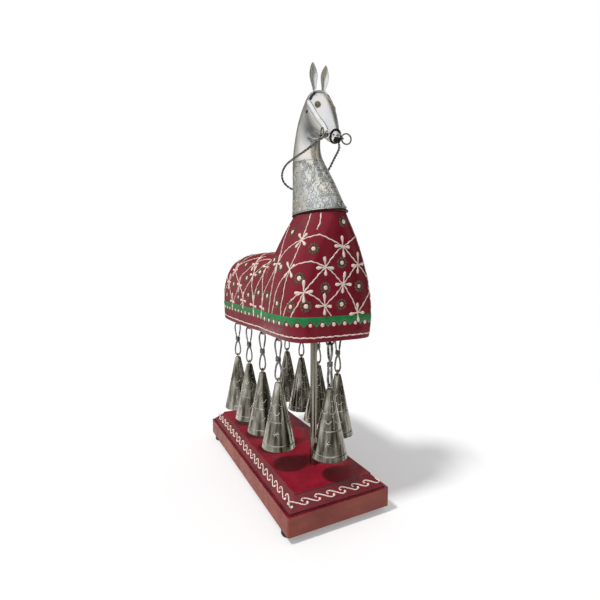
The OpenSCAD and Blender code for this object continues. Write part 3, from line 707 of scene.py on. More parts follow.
# One scroll of the vine, as (length in scroll spacings, height as a share of the slope)
SCROLL = [
    (0.10, -0.01), (0.01, 0.05), (0.08, 0.14), (0.24, 0.15), (0.46, 0.08), (0.72, -0.05),
    (0.98, -0.18), (1.18, -0.26), (1.35, -0.25), (1.43, -0.18),
]
SCROLL_SPACING, SCROLL_START, SCROLL_MIDDLE = 8.4, 0.3, 0.56
SCROLL_SWAY, SCROLL_GROWTH = 0.06, (0.9, 1.06)
SCROLL_THIN, SCROLL_SWELL, SCROLL_STEP = 0.3, 0.14, 0.5
SCROLL_TIP_R, SCROLL_TIP_H, SCROLL_BALL_R, SCROLL_BALL_H = 0.5, 0.4, 0.85, 0.55


def make_vine():
    """Lying scrolls, each with a hook and a ball end, run along the four slopes of the plinth."""
    rise = Vector((0, BEVEL_W, BEVEL_RISE))
    out = Vector((0, -BEVEL_RISE, BEVEL_W)).normalized()
    lines, drops = [], bmesh.new()
    for turn in range(4):
        long_side = turn % 2 == 0
        length = (PLINTH_L if long_side else PLINTH_W) - 2 * LEDGE_W - BEVEL_W
        across = (PLINTH_W if long_side else PLINTH_L) / 2 - LEDGE_W
        spin = Matrix.Rotation(math.radians(90 * turn), 3, "Z")
        foot = Vector((0, -across, BEVEL_Z))
        count = round(length / SCROLL_SPACING)
        spacing = length / count
        for k in range(count):
            sway = random.uniform(-SCROLL_SWAY, SCROLL_SWAY)
            grow = random.uniform(*SCROLL_GROWTH)
            left = spacing * (k - SCROLL_START + sway) - length / 2
            points = [
                spin @ (foot + Vector((left + spacing * u * grow, 0, 0))
                        + rise * (SCROLL_MIDDLE + v * grow))
                for u, v in SCROLL]
            path = path_through(points, SCROLL_STEP)
            last = len(path) - 1
            lines.append([
                (p, (SCROLL_THIN + SCROLL_SWELL * math.sin(math.pi * j / last)) * MM)
                for j, p in enumerate(path)])
            blob(drops, path[0], spin @ out, SCROLL_TIP_R * MM, SCROLL_TIP_H * MM, 8, 5)
            blob(drops, path[-1], spin @ out, SCROLL_BALL_R * MM, SCROLL_BALL_H * MM)
    drops.from_mesh(tube_mesh("plinth_vine", lines, 6))
    mesh = mesh_from("plinth_vine", drops)
    dress(object_from("plinth_vine", mesh, cream), "stand", "plinth_paint")


make_plinth()
make_vine()


# The body: the CAD's own skin, smoothed

BODY_EDGE = 0.7
# How level a face of the body's flat ends is, and how near to their height, in metres
LEVEL_FACE, LEVEL_GAP = 0.999, 1e-5


def largest_island(bm):
    """The faces of the largest joined-up part."""
    left, best = set(bm.faces), []
    while left:
        stack = [left.pop()]
        island = list(stack)
        while stack:
            for edge in stack.pop().edges:
                for face in edge.link_faces:
                    if face in left:
                        left.discard(face)
                        island.append(face)
                        stack.append(face)
        if len(island) > len(best):
            best = island
    return best


def make_body():
    """The outer skin alone, with new flat ends whose edges stay tight when it is smoothed."""
    bm = cad_copy("body")
    ends = [f for f in bm.faces if abs(f.normal.z) > LEVEL_FACE
            and min(abs(f.calc_center_median().z - z * MM) for z in (BODY_Z, SEAT_Z)) < LEVEL_GAP]
    bmesh.ops.delete(bm, geom=ends, context="FACES")
    keep = set(largest_island(bm))
    bmesh.ops.delete(bm, geom=[f for f in bm.faces if f not in keep], context="FACES")
    to_quads(bm)
    for level in (BODY_Z + BODY_EDGE, SEAT_Z - BODY_EDGE):
        bmesh.ops.bisect_plane(
            bm, geom=bm.verts[:] + bm.edges[:] + bm.faces[:], dist=MERGE_GAP,
            plane_co=(0, 0, level * MM), plane_no=(0, 0, 1))
    caps = fill_ends(bm)
    bmesh.ops.inset_region(bm, faces=caps, thickness=BODY_EDGE * MM, use_even_offset=True)
    obj = object_from("body_wood", mesh_from("body_wood", bm), crimson)
    soften(obj)
    return dress(obj, "stand", "body_paint", "body")


body = make_body()
skin = skin_of(body)


def on_skin(point):
    place, normal, _, _ = skin.find_nearest(point)
    return place, normal


def body_point(p):
    """A paint point (x, y, height over the underside), put on the body's skin."""
    return on_skin(Vector((p[0], p[1], BODY_Z + p[2])) * MM)


# The painted net: strokes as the brush ran, as (x, y, height) points

FRONT_STROKES = [
    [(68, -19.5, 60), (73, -16.5, 61.5), (77, -12.5, 62.5), (79, -7.5, 60.5), (79, 2, 56)],
    [(79, 2, 56), (79, -2, 53), (79, -5.5, 49), (79, -9.5, 44)],
    [(79, 2, 56), (79, 6.5, 52), (79, 10, 48.5), (79, 13.5, 45.5)],
    [(65, -26, 42.5), (71, -23.5, 45.5), (76, -20, 47), (78, -15.5, 46.5), (79, -9.5, 44)],
    [(79, -9.5, 44), (79, -14, 39.5), (78, -18, 35), (77, -22.5, 29.5)],
    [(79, -9.5, 44), (79, -5.5, 41.5), (79, -1.5, 37.5), (79, 2.5, 34)],
    [(79, 13.5, 45.5), (79, 10, 43), (79, 6, 38), (79, 2.5, 34)],
    [(79, 2.5, 34), (79, -1.5, 29), (79, -6, 25), (79, -10, 21.5)],
    [(79, 2.5, 34), (79, 6.5, 28.5), (79, 10, 23), (79, 13, 16)],
    [(77, -22.5, 29.5), (78, -19, 28.5), (79, -15, 26), (79, -10, 21.5)],
    [(79, -10, 21.5), (79, -8, 18.5), (79, -5.5, 15.5)],
    [(73, -9, 75.5), (75, -11, 70), (75, -13, 65.5)],
    [(77, -22.5, 29.5), (74, -26, 27.5), (71, -28.5, 24), (68, -29.5, 20.5), (66, -30.5, 15.3)],
    [(77, -22.5, 29.5), (76, -25, 24), (74, -27, 19.5), (72, -28.5, 15)],
    [(79, 2, 56), (79, 6.5, 58.5), (77, 12, 62), (73, 16.5, 61.5), (68, 19.5, 60)],
    [(79, 13.5, 45.5), (77, 17, 46), (73, 22, 46.5), (65, 26, 42.5)],
    [(79, 13.5, 45.5), (78, 17.5, 42), (75, 23, 36.5), (73, 27, 31)],
    [(79, 13, 16), (79, 18, 22), (77, 22.5, 27), (73, 27, 31)],
    [(73, 27, 31), (70, 29, 25), (66, 30.3, 20), (63, 31, 15.5)],
    [(73, 27, 31), (72, 28, 24), (70, 29.3, 18), (69, 29.8, 15.3)],
]
SIDE_STROKES = [
    [(68, -19.5, 60), (68, -16.5, 66), (67, -14, 72), (66, -12, 76)],
    [(68, -19.5, 60), (68, -21.5, 55), (67, -23.5, 49.5), (65, -26, 42.5)],
    [(68, -19.5, 60), (61, -21.5, 57.5), (53, -23.5, 53), (48, -26, 46.5)],
    [(48, -26, 46.5), (48, -23.5, 52.5), (46, -21.5, 58), (45, -19, 64), (43, -15, 71)],
    [(66, -26, 42.5), (58, -28.5, 35), (54, -30, 28), (53, -31, 21), (51, -31.5, 15)],
    [(66, -26, 42.5), (64, -28, 34.5), (64, -29.5, 27.5), (63, -30.5, 22), (63, -31, 15.5)],
    [(47, -26, 46), (44, -27.5, 39.5), (37, -29.5, 31), (33, -30, 25.5), (32, -31, 16)],
    [(47, -26, 46), (47, -28, 38.5), (47, -30, 29.5), (46, -31.5, 15.3)],
    [(22, -23, 44), (23, -25.5, 39), (20, -28, 33.5), (17, -29.5, 26.5), (15, -30.5, 16)],
    [(22, -23, 44), (23, -26, 38.5), (28, -28.5, 29.5), (31, -30, 24.5), (32, -31, 16)],
    [(9, -28, 38.5), (7, -29, 34.5), (0, -30.5, 28), (-5, -31.5, 22), (-5, -31.5, 17)],
    [(9, -28, 38.5), (10, -29.5, 32), (13, -30, 26), (15, -30, 21)],
    [(-15, -30.5, 30.5), (-21, -31, 23.5), (-26, -31.5, 18.5), (-30, -31.5, 15.3)],
    [(-15, -30.5, 30.5), (-8, -31, 25.5), (-5, -31.5, 21)],
    [(-15, -30.5, 30.5), (-15, -29.5, 36.5), (-6, -27.5, 41.5), (3, -24, 46.5)],
    [(-35, -27.5, 41.5), (-25, -29.5, 36.5), (-15, -30.5, 30.5)],
    [(-35, -27.5, 41.5), (-29, -24.5, 46), (-14, -22, 49.5), (1, -19.5, 51), (7, -17.5, 52)],
    [(9, -28, 38.5), (14, -26, 42), (18, -22.5, 45.5), (22, -19.5, 48)],
    [(3, -24, 46.5), (9, -21, 49), (18, -18, 49.5)],
    [(3, -24, 46.5), (7, -26.5, 42.5), (9, -28, 38.5)],
    [(-5, -31.5, 18), (-10, -31.5, 15.3)],
    [(-44, -30, 32), (-39, -31, 26), (-34, -31.5, 21), (-30, -31.5, 15.5)],
    [(-35, -27.5, 41.5), (-40, -29, 37), (-44, -30, 32)],
    [(-35, -27.5, 41.5), (-43, -16, 50), (-50, 0, 55)],
    [(3, -24, 46.5), (-4, -12, 54), (-12, 0, 56)],
    [(-12, 0, 56), (-24, -14, 53), (-35, -27.5, 41.5)],
    [(-50, 0, 55), (-60, -10, 50), (-70, -16, 42), (-76, -20, 30)],
    [(-44, -30, 32), (-58, -28, 36), (-70, -16, 42), (-79, 0, 36)],
    [(-44, -30, 32), (-56, -30, 25), (-66, -28, 18), (-72, -24, 15.3)],
    [(-76, -20, 30), (-70, -26, 22), (-66, -28, 18), (-60, -30, 15.3)],
    [(-76, -20, 30), (-80, -10, 22), (-82, 0, 16)],
    [(-79, 0, 36), (-79, -10, 33), (-76, -20, 30)],
]
FRONT_FLOWERS = [
    (79, 2, 56), (79, -9.5, 44), (79, 13.5, 45.5), (77, -22.5, 29.5), (79, 2.5, 34),
    (79, -10, 21.5), (79, 13, 16.5), (73, 27, 31), (-50, 0, 55), (-12, 0, 56), (-79, 0, 36),
    (-82, 0, 16.5),
]
SHOULDER_FLOWERS = [(68, -19.5, 60), (65.5, -26, 42.5)]
SIDE_FLOWERS = [
    (47.5, -26, 46.3), (22, -23, 44), (3, -24, 46.5),
    (-35, -27.5, 41.5), (9, -28, 38.5), (-15, -30.5, 30.5), (-44, -30, 32), (-4, -31.5, 19.5),
    (15, -30.5, 17), (32.5, -31, 17), (-30, -31.5, 16.5), (-76, -20, 30), (-66, -28, 18),
]
FRONT_DOTS = [
    (76.5, -16, 54.5), (79.5, 1.5, 46.5), (79.5, -9.5, 32), (79, 14, 32.5), (78, -21.5, 21.5),
    (79.5, 1.5, 22), (78.5, 3, 70.5), (-31, 0, 56), (8, 0, 55), (-68, 0, 49), (-81, 0, 26),
]
SIDE_DOTS = [
    (74, -24, 37.5), (71.5, -28.5, 21), (57.5, -31, 22), (54, -18.5, 65.5), (54, -26.5, 44),
    (-15, -25, 46), (-1.5, -29.5, 36), (17, -26, 40.5), (-29.5, -30.5, 30.5), (-15.5, -31.5, 21),
    (6, -31, 24), (22, -29, 26.5), (41, -30.5, 25.5), (39.5, -24.5, 48.5), (-36, -14.5, 53.5),
    (-58, -20, 45), (-62, -28, 27), (-48, -31, 21), (-76, -18, 20),
]
# Petals as (angle, length), and their half widths from the root to the tip
PETALS = [(90, 7.2), (0, 5.6), (180, 6.2), (270, 6.2)]
PETAL_SHAPE = [0.36, 0.36, 0.38, 0.44, 0.58, 0.80, 1.0, 1.08, 0.98, 0.55]
PETAL_TURN, PETAL_REACH, SHOULDER_LEAN = 9, (0.82, 1.08), 45
# Where the skin faces upwards, petals take their directions from the body's length
TOP_FACING = 0.05
PAINT_FLATNESS = 0.55
HAND_SLIP = 0.6
NET_STEP, NET_LINE_R, LINE_WOBBLE = 0.7, 0.40, 0.22
LOW_LINE_H, LOW_LINE_R, LOW_LINE_POINTS = 3.1, 0.42, 560
# Waves in a brush line's course and in its thickness, as (share, radians a step)
COURSE_WAVES, THICKNESS_WAVE, STROKE_EASE = ((0.6, 1.15), (0.4, 0.47)), (0.2, 0.83), 3
DOT_R, DOT_RISE = (1.25, 1.55), 0.75
RING_R, RING_COUNTS, RING_SLIP = (2.65, 2.85), (9, 10, 10, 11), 0.12
RING_DOT_R, RING_DOT_RISE = (0.78, 0.95), 0.3
TOOTH_COUNT, TOOTH_STEPS = 54, 8
BEAD_H, BEAD_R, BEAD_RISE = 10.4, (1.05, 1.35), 0.7
BAND_TOP, BAND_NOTCH, BAND_TIP = 15.2, 12.7, 9.0
# Rows of the green band from its teeth up; the first and the last sink into the body
BAND_ROWS = [0.0, 0.04, 0.35, 0.65, 0.96, 1.0]
BAND_SINK, BAND_LIFT, BAND_CLEAR = -0.1, 0.14, 20
PERIMETER_RAYS = 720


def mirrored(items):
    """The right side's items with the same ones on the left side."""
    both = []
    for item in items:
        many = isinstance(item, list)
        points = item if many else [item]
        left = [(x + random.uniform(-1, 1) * HAND_SLIP, -y, h + random.uniform(-1, 1) * HAND_SLIP)
                for x, y, h in points]
        both += [item, left if many else left[0]]
    return both


def brush_line(path, radius, wobble, closed=False):
    """A hand-drawn line of raised paint along points near the skin."""
    *course, swell = [random.uniform(0, math.tau) for _ in range(3)]
    line, last = [], len(path) - 1
    for k, p in enumerate(path):
        ahead = path[(k + 1) % len(path)] if closed else path[min(k + 1, last)]
        behind = path[k - 1] if closed else path[max(k - 1, 0)]
        place, normal = on_skin(p)
        side = normal.cross((ahead - behind).normalized())
        drift = wobble * sum(share * math.sin(k * turn + phase)
                             for (share, turn), phase in zip(COURSE_WAVES, course))
        ease = 1 if closed else min(1, k / STROKE_EASE, (last - k) / STROKE_EASE)
        place, _ = on_skin(place + side * drift * ease * MM)
        share, turn = THICKNESS_WAVE
        line.append((place, radius * (1 + share * math.sin(k * turn + swell)) * MM))
    return line


def petal_lines(point, lean=0):
    """Four club-shaped petals round a crossing."""
    middle, normal = body_point(point)
    side = Vector((0, 0, 1)).cross(normal)
    side = side.normalized() if side.length > TOP_FACING else Vector((0, 1, 0))
    up = normal.cross(side)
    lines = []
    for turn, reach in PETALS:
        angle = math.radians(turn + lean + random.uniform(-PETAL_TURN, PETAL_TURN))
        reach *= random.uniform(*PETAL_REACH)
        way = side * math.cos(angle) + up * math.sin(angle)
        line = []
        for k, size in enumerate(PETAL_SHAPE):
            share = k / (len(PETAL_SHAPE) - 1)
            place, _ = on_skin(middle + way * reach * share * MM)
            line.append((place, size * MM))
        lines.append(line)
    return lines


def flatten(mesh, search, share):
    """Presses raised paint towards the surface it lies on."""
    for vert in mesh.vertices:
        place, normal, _, _ = search.find_nearest(vert.co)
        if (vert.co - place).dot(normal) > 0:
            vert.co = place + (vert.co - place) * share


def perimeter(height, count):
    """Evenly spaced points round the body at a height, with their outward directions."""
    middle = Vector((0, 0, BODY_Z + height)) * MM
    ring = []
    for k in range(PERIMETER_RAYS):
        turn = math.tau * k / PERIMETER_RAYS
        hit = skin.ray_cast(middle, Vector((math.cos(turn), math.sin(turn), 0)))
        ring.append(hit[0])
    ring.append(ring[0])
    lengths = [(b - a).length for a, b in zip(ring, ring[1:])]
    total, points, k, gone = sum(lengths), [], 0, 0.0
    for j in range(count):
        goal = total * j / count
        while gone + lengths[k] < goal:
            gone += lengths[k]
            k += 1
        points.append(ring[k].lerp(ring[k + 1], (goal - gone) / lengths[k]))
    outs = []
    for j in range(count):
        along = points[(j + 1) % count] - points[j - 1]
        outs.append(along.cross(Vector((0, 0, 1))).normalized())
    return points, outs


def net_lines():
    """The strokes of the net and the petals of its flowers."""
    strokes = FRONT_STROKES + mirrored(SIDE_STROKES)
    lines = [brush_line(path_through([(x, y, BODY_Z + h) for x, y, h in s], NET_STEP),
                        NET_LINE_R, LINE_WOBBLE)
             for s in strokes]
    for flower in FRONT_FLOWERS + mirrored(SIDE_FLOWERS):
        lines += petal_lines(flower)
    for flower in mirrored(SHOULDER_FLOWERS):
        lines += petal_lines(flower, SHOULDER_LEAN)
    return lines


def lay_dots(drops, rings):
    """Cream dots, each in a ring of small olive ones."""
    for dot in FRONT_DOTS + mirrored(SIDE_DOTS):
        place, normal = body_point(dot)
        blob(drops, place, normal, random.uniform(*DOT_R) * MM, DOT_RISE * MM)
        side = normal.orthogonal().normalized()
        count = random.choice(RING_COUNTS)
        for k in range(count):
            angle = math.tau * (k + random.uniform(-RING_SLIP, RING_SLIP)) / count
            way = side * math.cos(angle) + normal.cross(side) * math.sin(angle)
            spot, out = on_skin(place + way * random.uniform(*RING_R) * MM)
            blob(rings, spot, out, random.uniform(*RING_DOT_R) * MM, RING_DOT_RISE * MM, 7, 4)


def lay_beads(drops):
    """A cream bead between each two teeth of the green band."""
    points, _ = perimeter(BEAD_H, TOOTH_COUNT * TOOTH_STEPS)
    for point in points[TOOTH_STEPS // 2::TOOTH_STEPS]:
        place, normal = on_skin(point)
        blob(drops, place, normal, random.uniform(*BEAD_R) * MM, BEAD_RISE * MM)


def make_paint():
    """The net with its dots and beads, and the line round the foot of the body."""
    net = tube_mesh("net", net_lines(), 6)
    low_points, _ = perimeter(LOW_LINE_H, LOW_LINE_POINTS)
    low = tube_mesh("low_line", [brush_line(low_points, LOW_LINE_R, LINE_WOBBLE, closed=True)], 6,
                    closed=True)
    drops, rings = bmesh.new(), bmesh.new()
    lay_dots(drops, rings)
    lay_beads(drops)
    drops.from_mesh(net)
    drops.from_mesh(low)
    mesh = mesh_from("paint_net", drops)
    flatten(mesh, skin, PAINT_FLATNESS)
    dress(object_from("paint_net", mesh, cream), "stand", "body_paint")
    dress(object_from("paint_dots", mesh_from("paint_dots", rings), olive),
          "stand", "body_paint")


def make_band():
    """The green band with its toothed lower edge."""
    count = TOOTH_COUNT * TOOTH_STEPS
    points, outs = perimeter(BAND_NOTCH, count)
    band = bmesh.new()

    def place(u, v):
        j = round(u * count) % count
        row = BAND_ROWS[round(v * (len(BAND_ROWS) - 1))]
        tooth = abs(2 * ((j / TOOTH_STEPS) % 1) - 1)
        foot = BAND_NOTCH + (BAND_TIP - BAND_NOTCH) * tooth
        height = foot + (BAND_TOP - foot) * row
        start = points[j] + outs[j] * BAND_CLEAR * MM
        start.z = (BODY_Z + height) * MM
        spot, normal, _, _ = skin.ray_cast(start, -outs[j])
        lift = BAND_SINK if row in (0.0, 1.0) else BAND_LIFT
        return spot + normal * lift * MM

    grid_loft(band, count, len(BAND_ROWS) - 1, place)
    dress(object_from("green_band", mesh_from("green_band", band), green), "stand", "body_paint")


make_paint()
make_band()


# Neck, head and ears of silver sheet

ENGRAVED_TOP = 1.74
NECK_SIDES, NECK_ROWS, HEAD_ROWS = 64, 40, 84
# Black ring of painted shade in the gap under the neck's rim: its radius, lift and points
RIM_SHADE_R, RIM_SHADE_LIFT, RIM_SHADE_POINTS = 0.45, 0.35, 96


def make_neck():
    """Sheet neck, chased below its engraved line and plain above, with a black ring at its foot that
    paints the shade under its rim.
    """
    steps = [(NECK_FOOT + (NECK_END - NECK_FOOT) * k / NECK_ROWS, 0.0) for k in range(NECK_ROWS + 1)]
    steps += [(t, -SHEET_T) for t, _ in reversed(steps)]
    bm = bmesh.new()

    def place(u, v):
        t, out = steps[round(v * len(steps)) % len(steps)]
        return neck_at(t, 360 * u, out)

    grid_loft(bm, NECK_SIDES, len(steps), place)
    border = neck_at(ENGRAVED_TOP, 90).z
    for face in bm.faces:
        face.material_index = 1 if face.calc_center_median().z < border else 0
    obj = object_from("neck_sheet", mesh_from("neck_sheet", bm, sharp=50), silver, chased_silver)
    # A black tube under the rim paints the shade in the gap between the neck and the body
    lift = Vector((0, 0, RIM_SHADE_LIFT * MM))
    seam = [(neck_at(0, 360 * k / RIM_SHADE_POINTS) + lift, RIM_SHADE_R * MM) for k in range(RIM_SHADE_POINTS)]
    dress(object_from("neck_rim_shade", tube_mesh("neck_rim_shade", [seam], 8, closed=True), black),
          "stand", "black_band")
    return dress(obj, "stand", "silver_sheet", "neck_shell")


EYE_T, EYE_V = 6.1, 56
# Hollows and swellings of the head, as (station, angle, reach, height)
HEAD_DENTS = [
    (6.05, 58, 2.6, -0.45), (5.7, 46, 2.2, 0.5), (6.4, 78, 4.0, 0.35), (9.35, 62, 1.1, -0.5),
    (9.5, 42, 1.3, 0.3), (8.3, 95, 2.6, -0.3),
]
# A dent fades out at this many times its reach
DENT_FADE = 2.5


def make_head():
    """Smooth head with hollows round the eyes and nostrils."""
    bm = bmesh.new()

    def place(u, v):
        t, angle = NECK_END + (HEAD_END - NECK_END) * v, 360 * u
        point = neck_at(t, angle)
        out = neck_out(min(max(t, NECK_END + HEAD_STEP_T), HEAD_END - HEAD_STEP_T), angle)
        for dent_t, dent_v, reach, height in HEAD_DENTS:
            for side in (-1, 1):
                far = (point - neck_at(dent_t, side * dent_v)).length / (reach * MM)
                if far < DENT_FADE:
                    point += out * height * MM * math.exp(-far * far)
        return point

    grid_loft(bm, NECK_SIDES, HEAD_ROWS, place)
    merge(bm)
    fill_ends(bm)
    obj = object_from("head_sheet", mesh_from("head_sheet", bm, sharp=60), silver)
    dress(obj, "stand", "silver_sheet", "head")


EAR_SPREAD = (1.1, 1.25, 1.0)
EAR_BACK = -0.1


def make_ears():
    """The CAD's leaves, spread out, with the faces that look backwards darkened as painted shade."""
    for side in ("left", "right"):
        bm = cad_copy(f"ear_{side}")
        to_quads(bm)
        middle = sum((v.co for v in bm.verts), Vector()) / len(bm.verts)
        bmesh.ops.scale(bm, vec=EAR_SPREAD, space=Matrix.Translation(-middle), verts=bm.verts)
        bm.normal_update()
        # Faces turned backwards take the dark silver, which paints the shade on that side of each
        # ear
        for face in bm.faces:
            face.material_index = 1 if face.normal.x < EAR_BACK else 0
        obj = object_from(f"ear_leaf_{side}", mesh_from("ear_leaf", bm), silver, dark_silver_and_shade)
        soften(obj)
        dress(obj, "stand", "silver_sheet", f"ear_{side}")


EYE_LONG, EYE_HIGH, EYE_RISE, EYE_SINK = 2.2, 1.5, 0.8, 0.3
LID_GAP, LID_R, LID_POINTS = 0.2, 0.26, 28
STUD_T, STUD_V, STUD_R, STUD_RISE, STUD_STRETCH = 4.6, 90, 1.0, 0.4, 1.7
NOSTRIL_T, NOSTRIL_V, NOSTRIL_R, NOSTRIL_RISE = 9.35, 62, 0.6, 0.4
MOUTH_PLACE, MOUTH_SIZE = (75.5, 0.0, 231.9), (2.3, 3.6, 2.8)
MOUTH_TILT, MOUTH_ROUND = math.radians(-35), 0.4


def make_face():
    """Eyes with their lids, nostrils, cheek studs and the mouth."""
    lids, eyes, darks = [], bmesh.new(), bmesh.new()
    for side in (-1, 1):
        eye = (EYE_T, side * EYE_V)
        out, along = neck_out(*eye), neck_along(*eye)
        place = neck_at(*eye) - out * EYE_SINK * MM
        blob(eyes, place, out, EYE_HIGH * MM, EYE_RISE * MM, 16, 10, along, EYE_LONG / EYE_HIGH)
        lids.append(loop_line(
            place + out * LID_GAP * MM, along * (EYE_LONG + LID_GAP) * MM,
            out.cross(along) * (EYE_HIGH + LID_GAP) * MM, LID_R * MM, LID_POINTS))
        nostril = (NOSTRIL_T, side * NOSTRIL_V)
        out = neck_out(*nostril)
        blob(darks, neck_at(*nostril) - out * NOSTRIL_RISE * MM, out, NOSTRIL_R * MM,
             NOSTRIL_RISE * MM)
        stud = (STUD_T, side * STUD_V)
        blob(darks, neck_at(*stud), neck_out(*stud), STUD_R * MM, STUD_RISE * MM,
             along=neck_along(*stud), stretch=STUD_STRETCH)
    dress(object_from("eyes", mesh_from("eyes", eyes), eye_brown), "stand", "silver_sheet")
    dress(object_from("eye_rims", tube_mesh("eye_rims", lids, 8, closed=True), dark_silver_and_shade),
          "stand", "silver_sheet")
    shape = Matrix.Translation(Vector(MOUTH_PLACE) * MM)
    shape = shape @ Matrix.Rotation(MOUTH_TILT, 4, "Y")
    shape = shape @ Matrix.Diagonal((*(Vector(MOUTH_SIZE) * MM), 1))
    made = bmesh.ops.create_cube(darks, size=1, matrix=shape)
    edges = list({e for v in made["verts"] for e in v.link_edges})
    bmesh.ops.bevel(darks, geom=edges, offset=MOUTH_ROUND * MM, offset_type="OFFSET", segments=2,
                    profile=0.5, affect="EDGES", material=-1)
    dress(object_from("mouth_and_nostrils", mesh_from("mouth_and_nostrils", darks), black),
          "stand", "black_band")


BRIDLE_RING_T, BRIDLE_RING_V, BRIDLE_RING_LIFT = 7.95, 100, 0.2
BRIDLE_RING_R, BRIDLE_WIRE_R, BRIDLE_RING_POINTS = 2.0, 0.42, 28
# Course of a cheek strap, as (station, angle), and its section, as shares of width and thickness
CHEEK_LINE = [(4.8, 69), (5.2, 75.5), (5.75, 84), (6.4, 89), (7.2, 88), (7.75, 94)]
STRAP_SECTION = [(-0.5, -0.6), (-0.5, 0.5), (-0.4, 0.9), (0.0, 1.1), (0.4, 0.9), (0.5, 0.5),
                 (0.5, -0.6)]
STRAP_W, STRAP_T, STRAP_STEPS = 2.9, 0.55, 24
STRAP_EDGE_R, STRAP_EDGE_RISE = 0.2, 0.2


def strap_frames(side):
    """Frames along a cheek strap, standing on the head."""
    spots = [spline_at(CHEEK_LINE, k / STRAP_STEPS * (len(CHEEK_LINE) - 1))
             for k in range(STRAP_STEPS + 1)]
    places = [neck_at(t, side * v) for t, v in spots]
    ways = [b - a for a, b in zip(places[:1] + places, places[1:] + places[-1:])]
    return [standing(place, neck_out(t, side * v), way)
            for (t, v), place, way in zip(spots, places, ways)]


def make_bridle():
    """Crowned cheek straps with dark edges, and the rings that join them to the bit."""
    edges, rings = [], []
    for name, side in (("left", 1), ("right", -1)):
        frames = strap_frames(side)
        bm = bmesh.new()

        def place_at(u, v):
            wide, high = STRAP_SECTION[round(u * len(STRAP_SECTION)) % len(STRAP_SECTION)]
            return frames[round(v * STRAP_STEPS)] @ (
                Vector((0, wide * STRAP_W, high * STRAP_T)) * MM)

        grid_loft(bm, len(STRAP_SECTION), STRAP_STEPS, place_at)
        merge(bm)
        fill_ends(bm)
        mesh = mesh_from(f"cheek_band_{name}", bm, sharp=50)
        dress(object_from(f"cheek_band_{name}", mesh, bright_silver), "stand", "silver_sheet",
              f"cheek_strap_{name}")
        for hand in (-0.5, 0.5):
            edge = Vector((0, hand * STRAP_W, STRAP_EDGE_RISE)) * MM
            edges.append([(f @ edge, STRAP_EDGE_R * MM) for f in frames])
        out = neck_out(BRIDLE_RING_T, side * BRIDLE_RING_V)
        across = out.cross(out.orthogonal()).normalized()
        rings.append(loop_line(
            neck_at(BRIDLE_RING_T, side * BRIDLE_RING_V, BRIDLE_RING_LIFT),
            across.cross(out) * BRIDLE_RING_R * MM, across * BRIDLE_RING_R * MM,
            BRIDLE_WIRE_R * MM, BRIDLE_RING_POINTS))
    dress(object_from("strap_edges", tube_mesh("strap_edges", edges, 6), dark_silver_and_shade),
          "stand", "silver_sheet")
    dress(object_from("bridle_rings", tube_mesh("bridle_rings", rings, 10, closed=True),
                      bright_silver), "stand", "silver_sheet")


ENGRAVED_ROWS, ENGRAVED_FROM, ENGRAVED_COUNT, ENGRAVED_MARGIN = 10, 0.22, 19, 0.1
ENGRAVED_SLIP, ENGRAVED_FLATNESS = 0.15, 0.5
BORDER_T, BORDER_POINTS = 0.12, 90
MOTIF_SIZE = 1.25
ANY_TURN = (0, 6.28)
# A dark groove's radius, and the radius and upward shift of the bright line of painted highlight
# beside it
GROOVE_R, HIGHLIGHT_R, HIGHLIGHT_SHIFT = 0.24, 0.2, 0.36
CURL_R, CURL_GROWTH, CURL_STEPS, CURL_TURN, CURL_TAIL = 0.4, 2.0, 22, 0.38, 0.8
LEAF_L, LEAF_W = (3.2, 4.6), (0.8, 1.2)
LEAF_HATCH, HATCH_ROOT, HATCH_SLANT, HATCH_REACH = (-0.9, -0.2, 0.5), 0.1, 0.45, 0.6
ROSETTE_PETALS, ROSETTE_R, PETAL_LONG, PETAL_WIDE, HEART_R = 6, 1.5, 0.75, 0.55, 0.5
# Strokes of the mane, run up the crest on both sides
MANE_COUNT, MANE_FROM, MANE_STEP, MANE_V = 20, 0.12, 0.085, 26
MANE_STROKE = [(-1.6, -0.5), (0, 0.1), (1.9, 0.9)]
EIGHTHS = [math.tau * j / 8 for j in range(9)]


def curl_motif():
    """A spiral scroll with a tail, in millimetres."""
    hand, start = random.choice((-1, 1)), random.uniform(*ANY_TURN)
    spiral = []
    for j in range(CURL_STEPS + 1):
        r, a = CURL_R + CURL_GROWTH * j / CURL_STEPS, start + hand * j * CURL_TURN
        spiral.append((r * math.cos(a), r * math.sin(a)))
    (a, b), (c, d) = spiral[-2:]
    tail = [(c + (c - a) * j * CURL_TAIL, d + (d - b) * j * CURL_TAIL) for j in range(1, 4)]
    return [spiral + tail]


def leaf_motif():
    """A pointed leaf with its vein and hatching."""
    turn = random.uniform(*ANY_TURN)
    length, width = random.uniform(*LEAF_L), random.uniform(*LEAF_W)
    co, si = math.cos(turn), math.sin(turn)

    def at(x, y):
        return x * co - y * si, x * si + y * co

    sides = [[at(length * (j / 8 - 0.5), hand * width * math.sin(math.pi * j / 8))
              for j in range(9)] for hand in (-1, 1)]
    vein = [at(length * (j / 4 - 0.5), 0) for j in range(5)]
    hatch = [[at(x, HATCH_ROOT), at(x + HATCH_SLANT, HATCH_REACH * width)] for x in LEAF_HATCH]
    return sides + [vein] + hatch


def rosette_motif():
    """A small flower of six petals."""
    petals = []
    for k in range(ROSETTE_PETALS):
        a = math.tau * k / ROSETTE_PETALS
        petal = []
        for b in EIGHTHS:
            far, aside = ROSETTE_R + PETAL_LONG * math.cos(b), PETAL_WIDE * math.sin(b)
            petal.append((far * math.cos(a) - aside * math.sin(a),
                          far * math.sin(a) + aside * math.cos(a)))
        petals.append(petal)
    return petals + [[(HEART_R * math.cos(b), HEART_R * math.sin(b)) for b in EIGHTHS]]


MOTIFS = (curl_motif, curl_motif, leaf_motif, leaf_motif, rosette_motif)


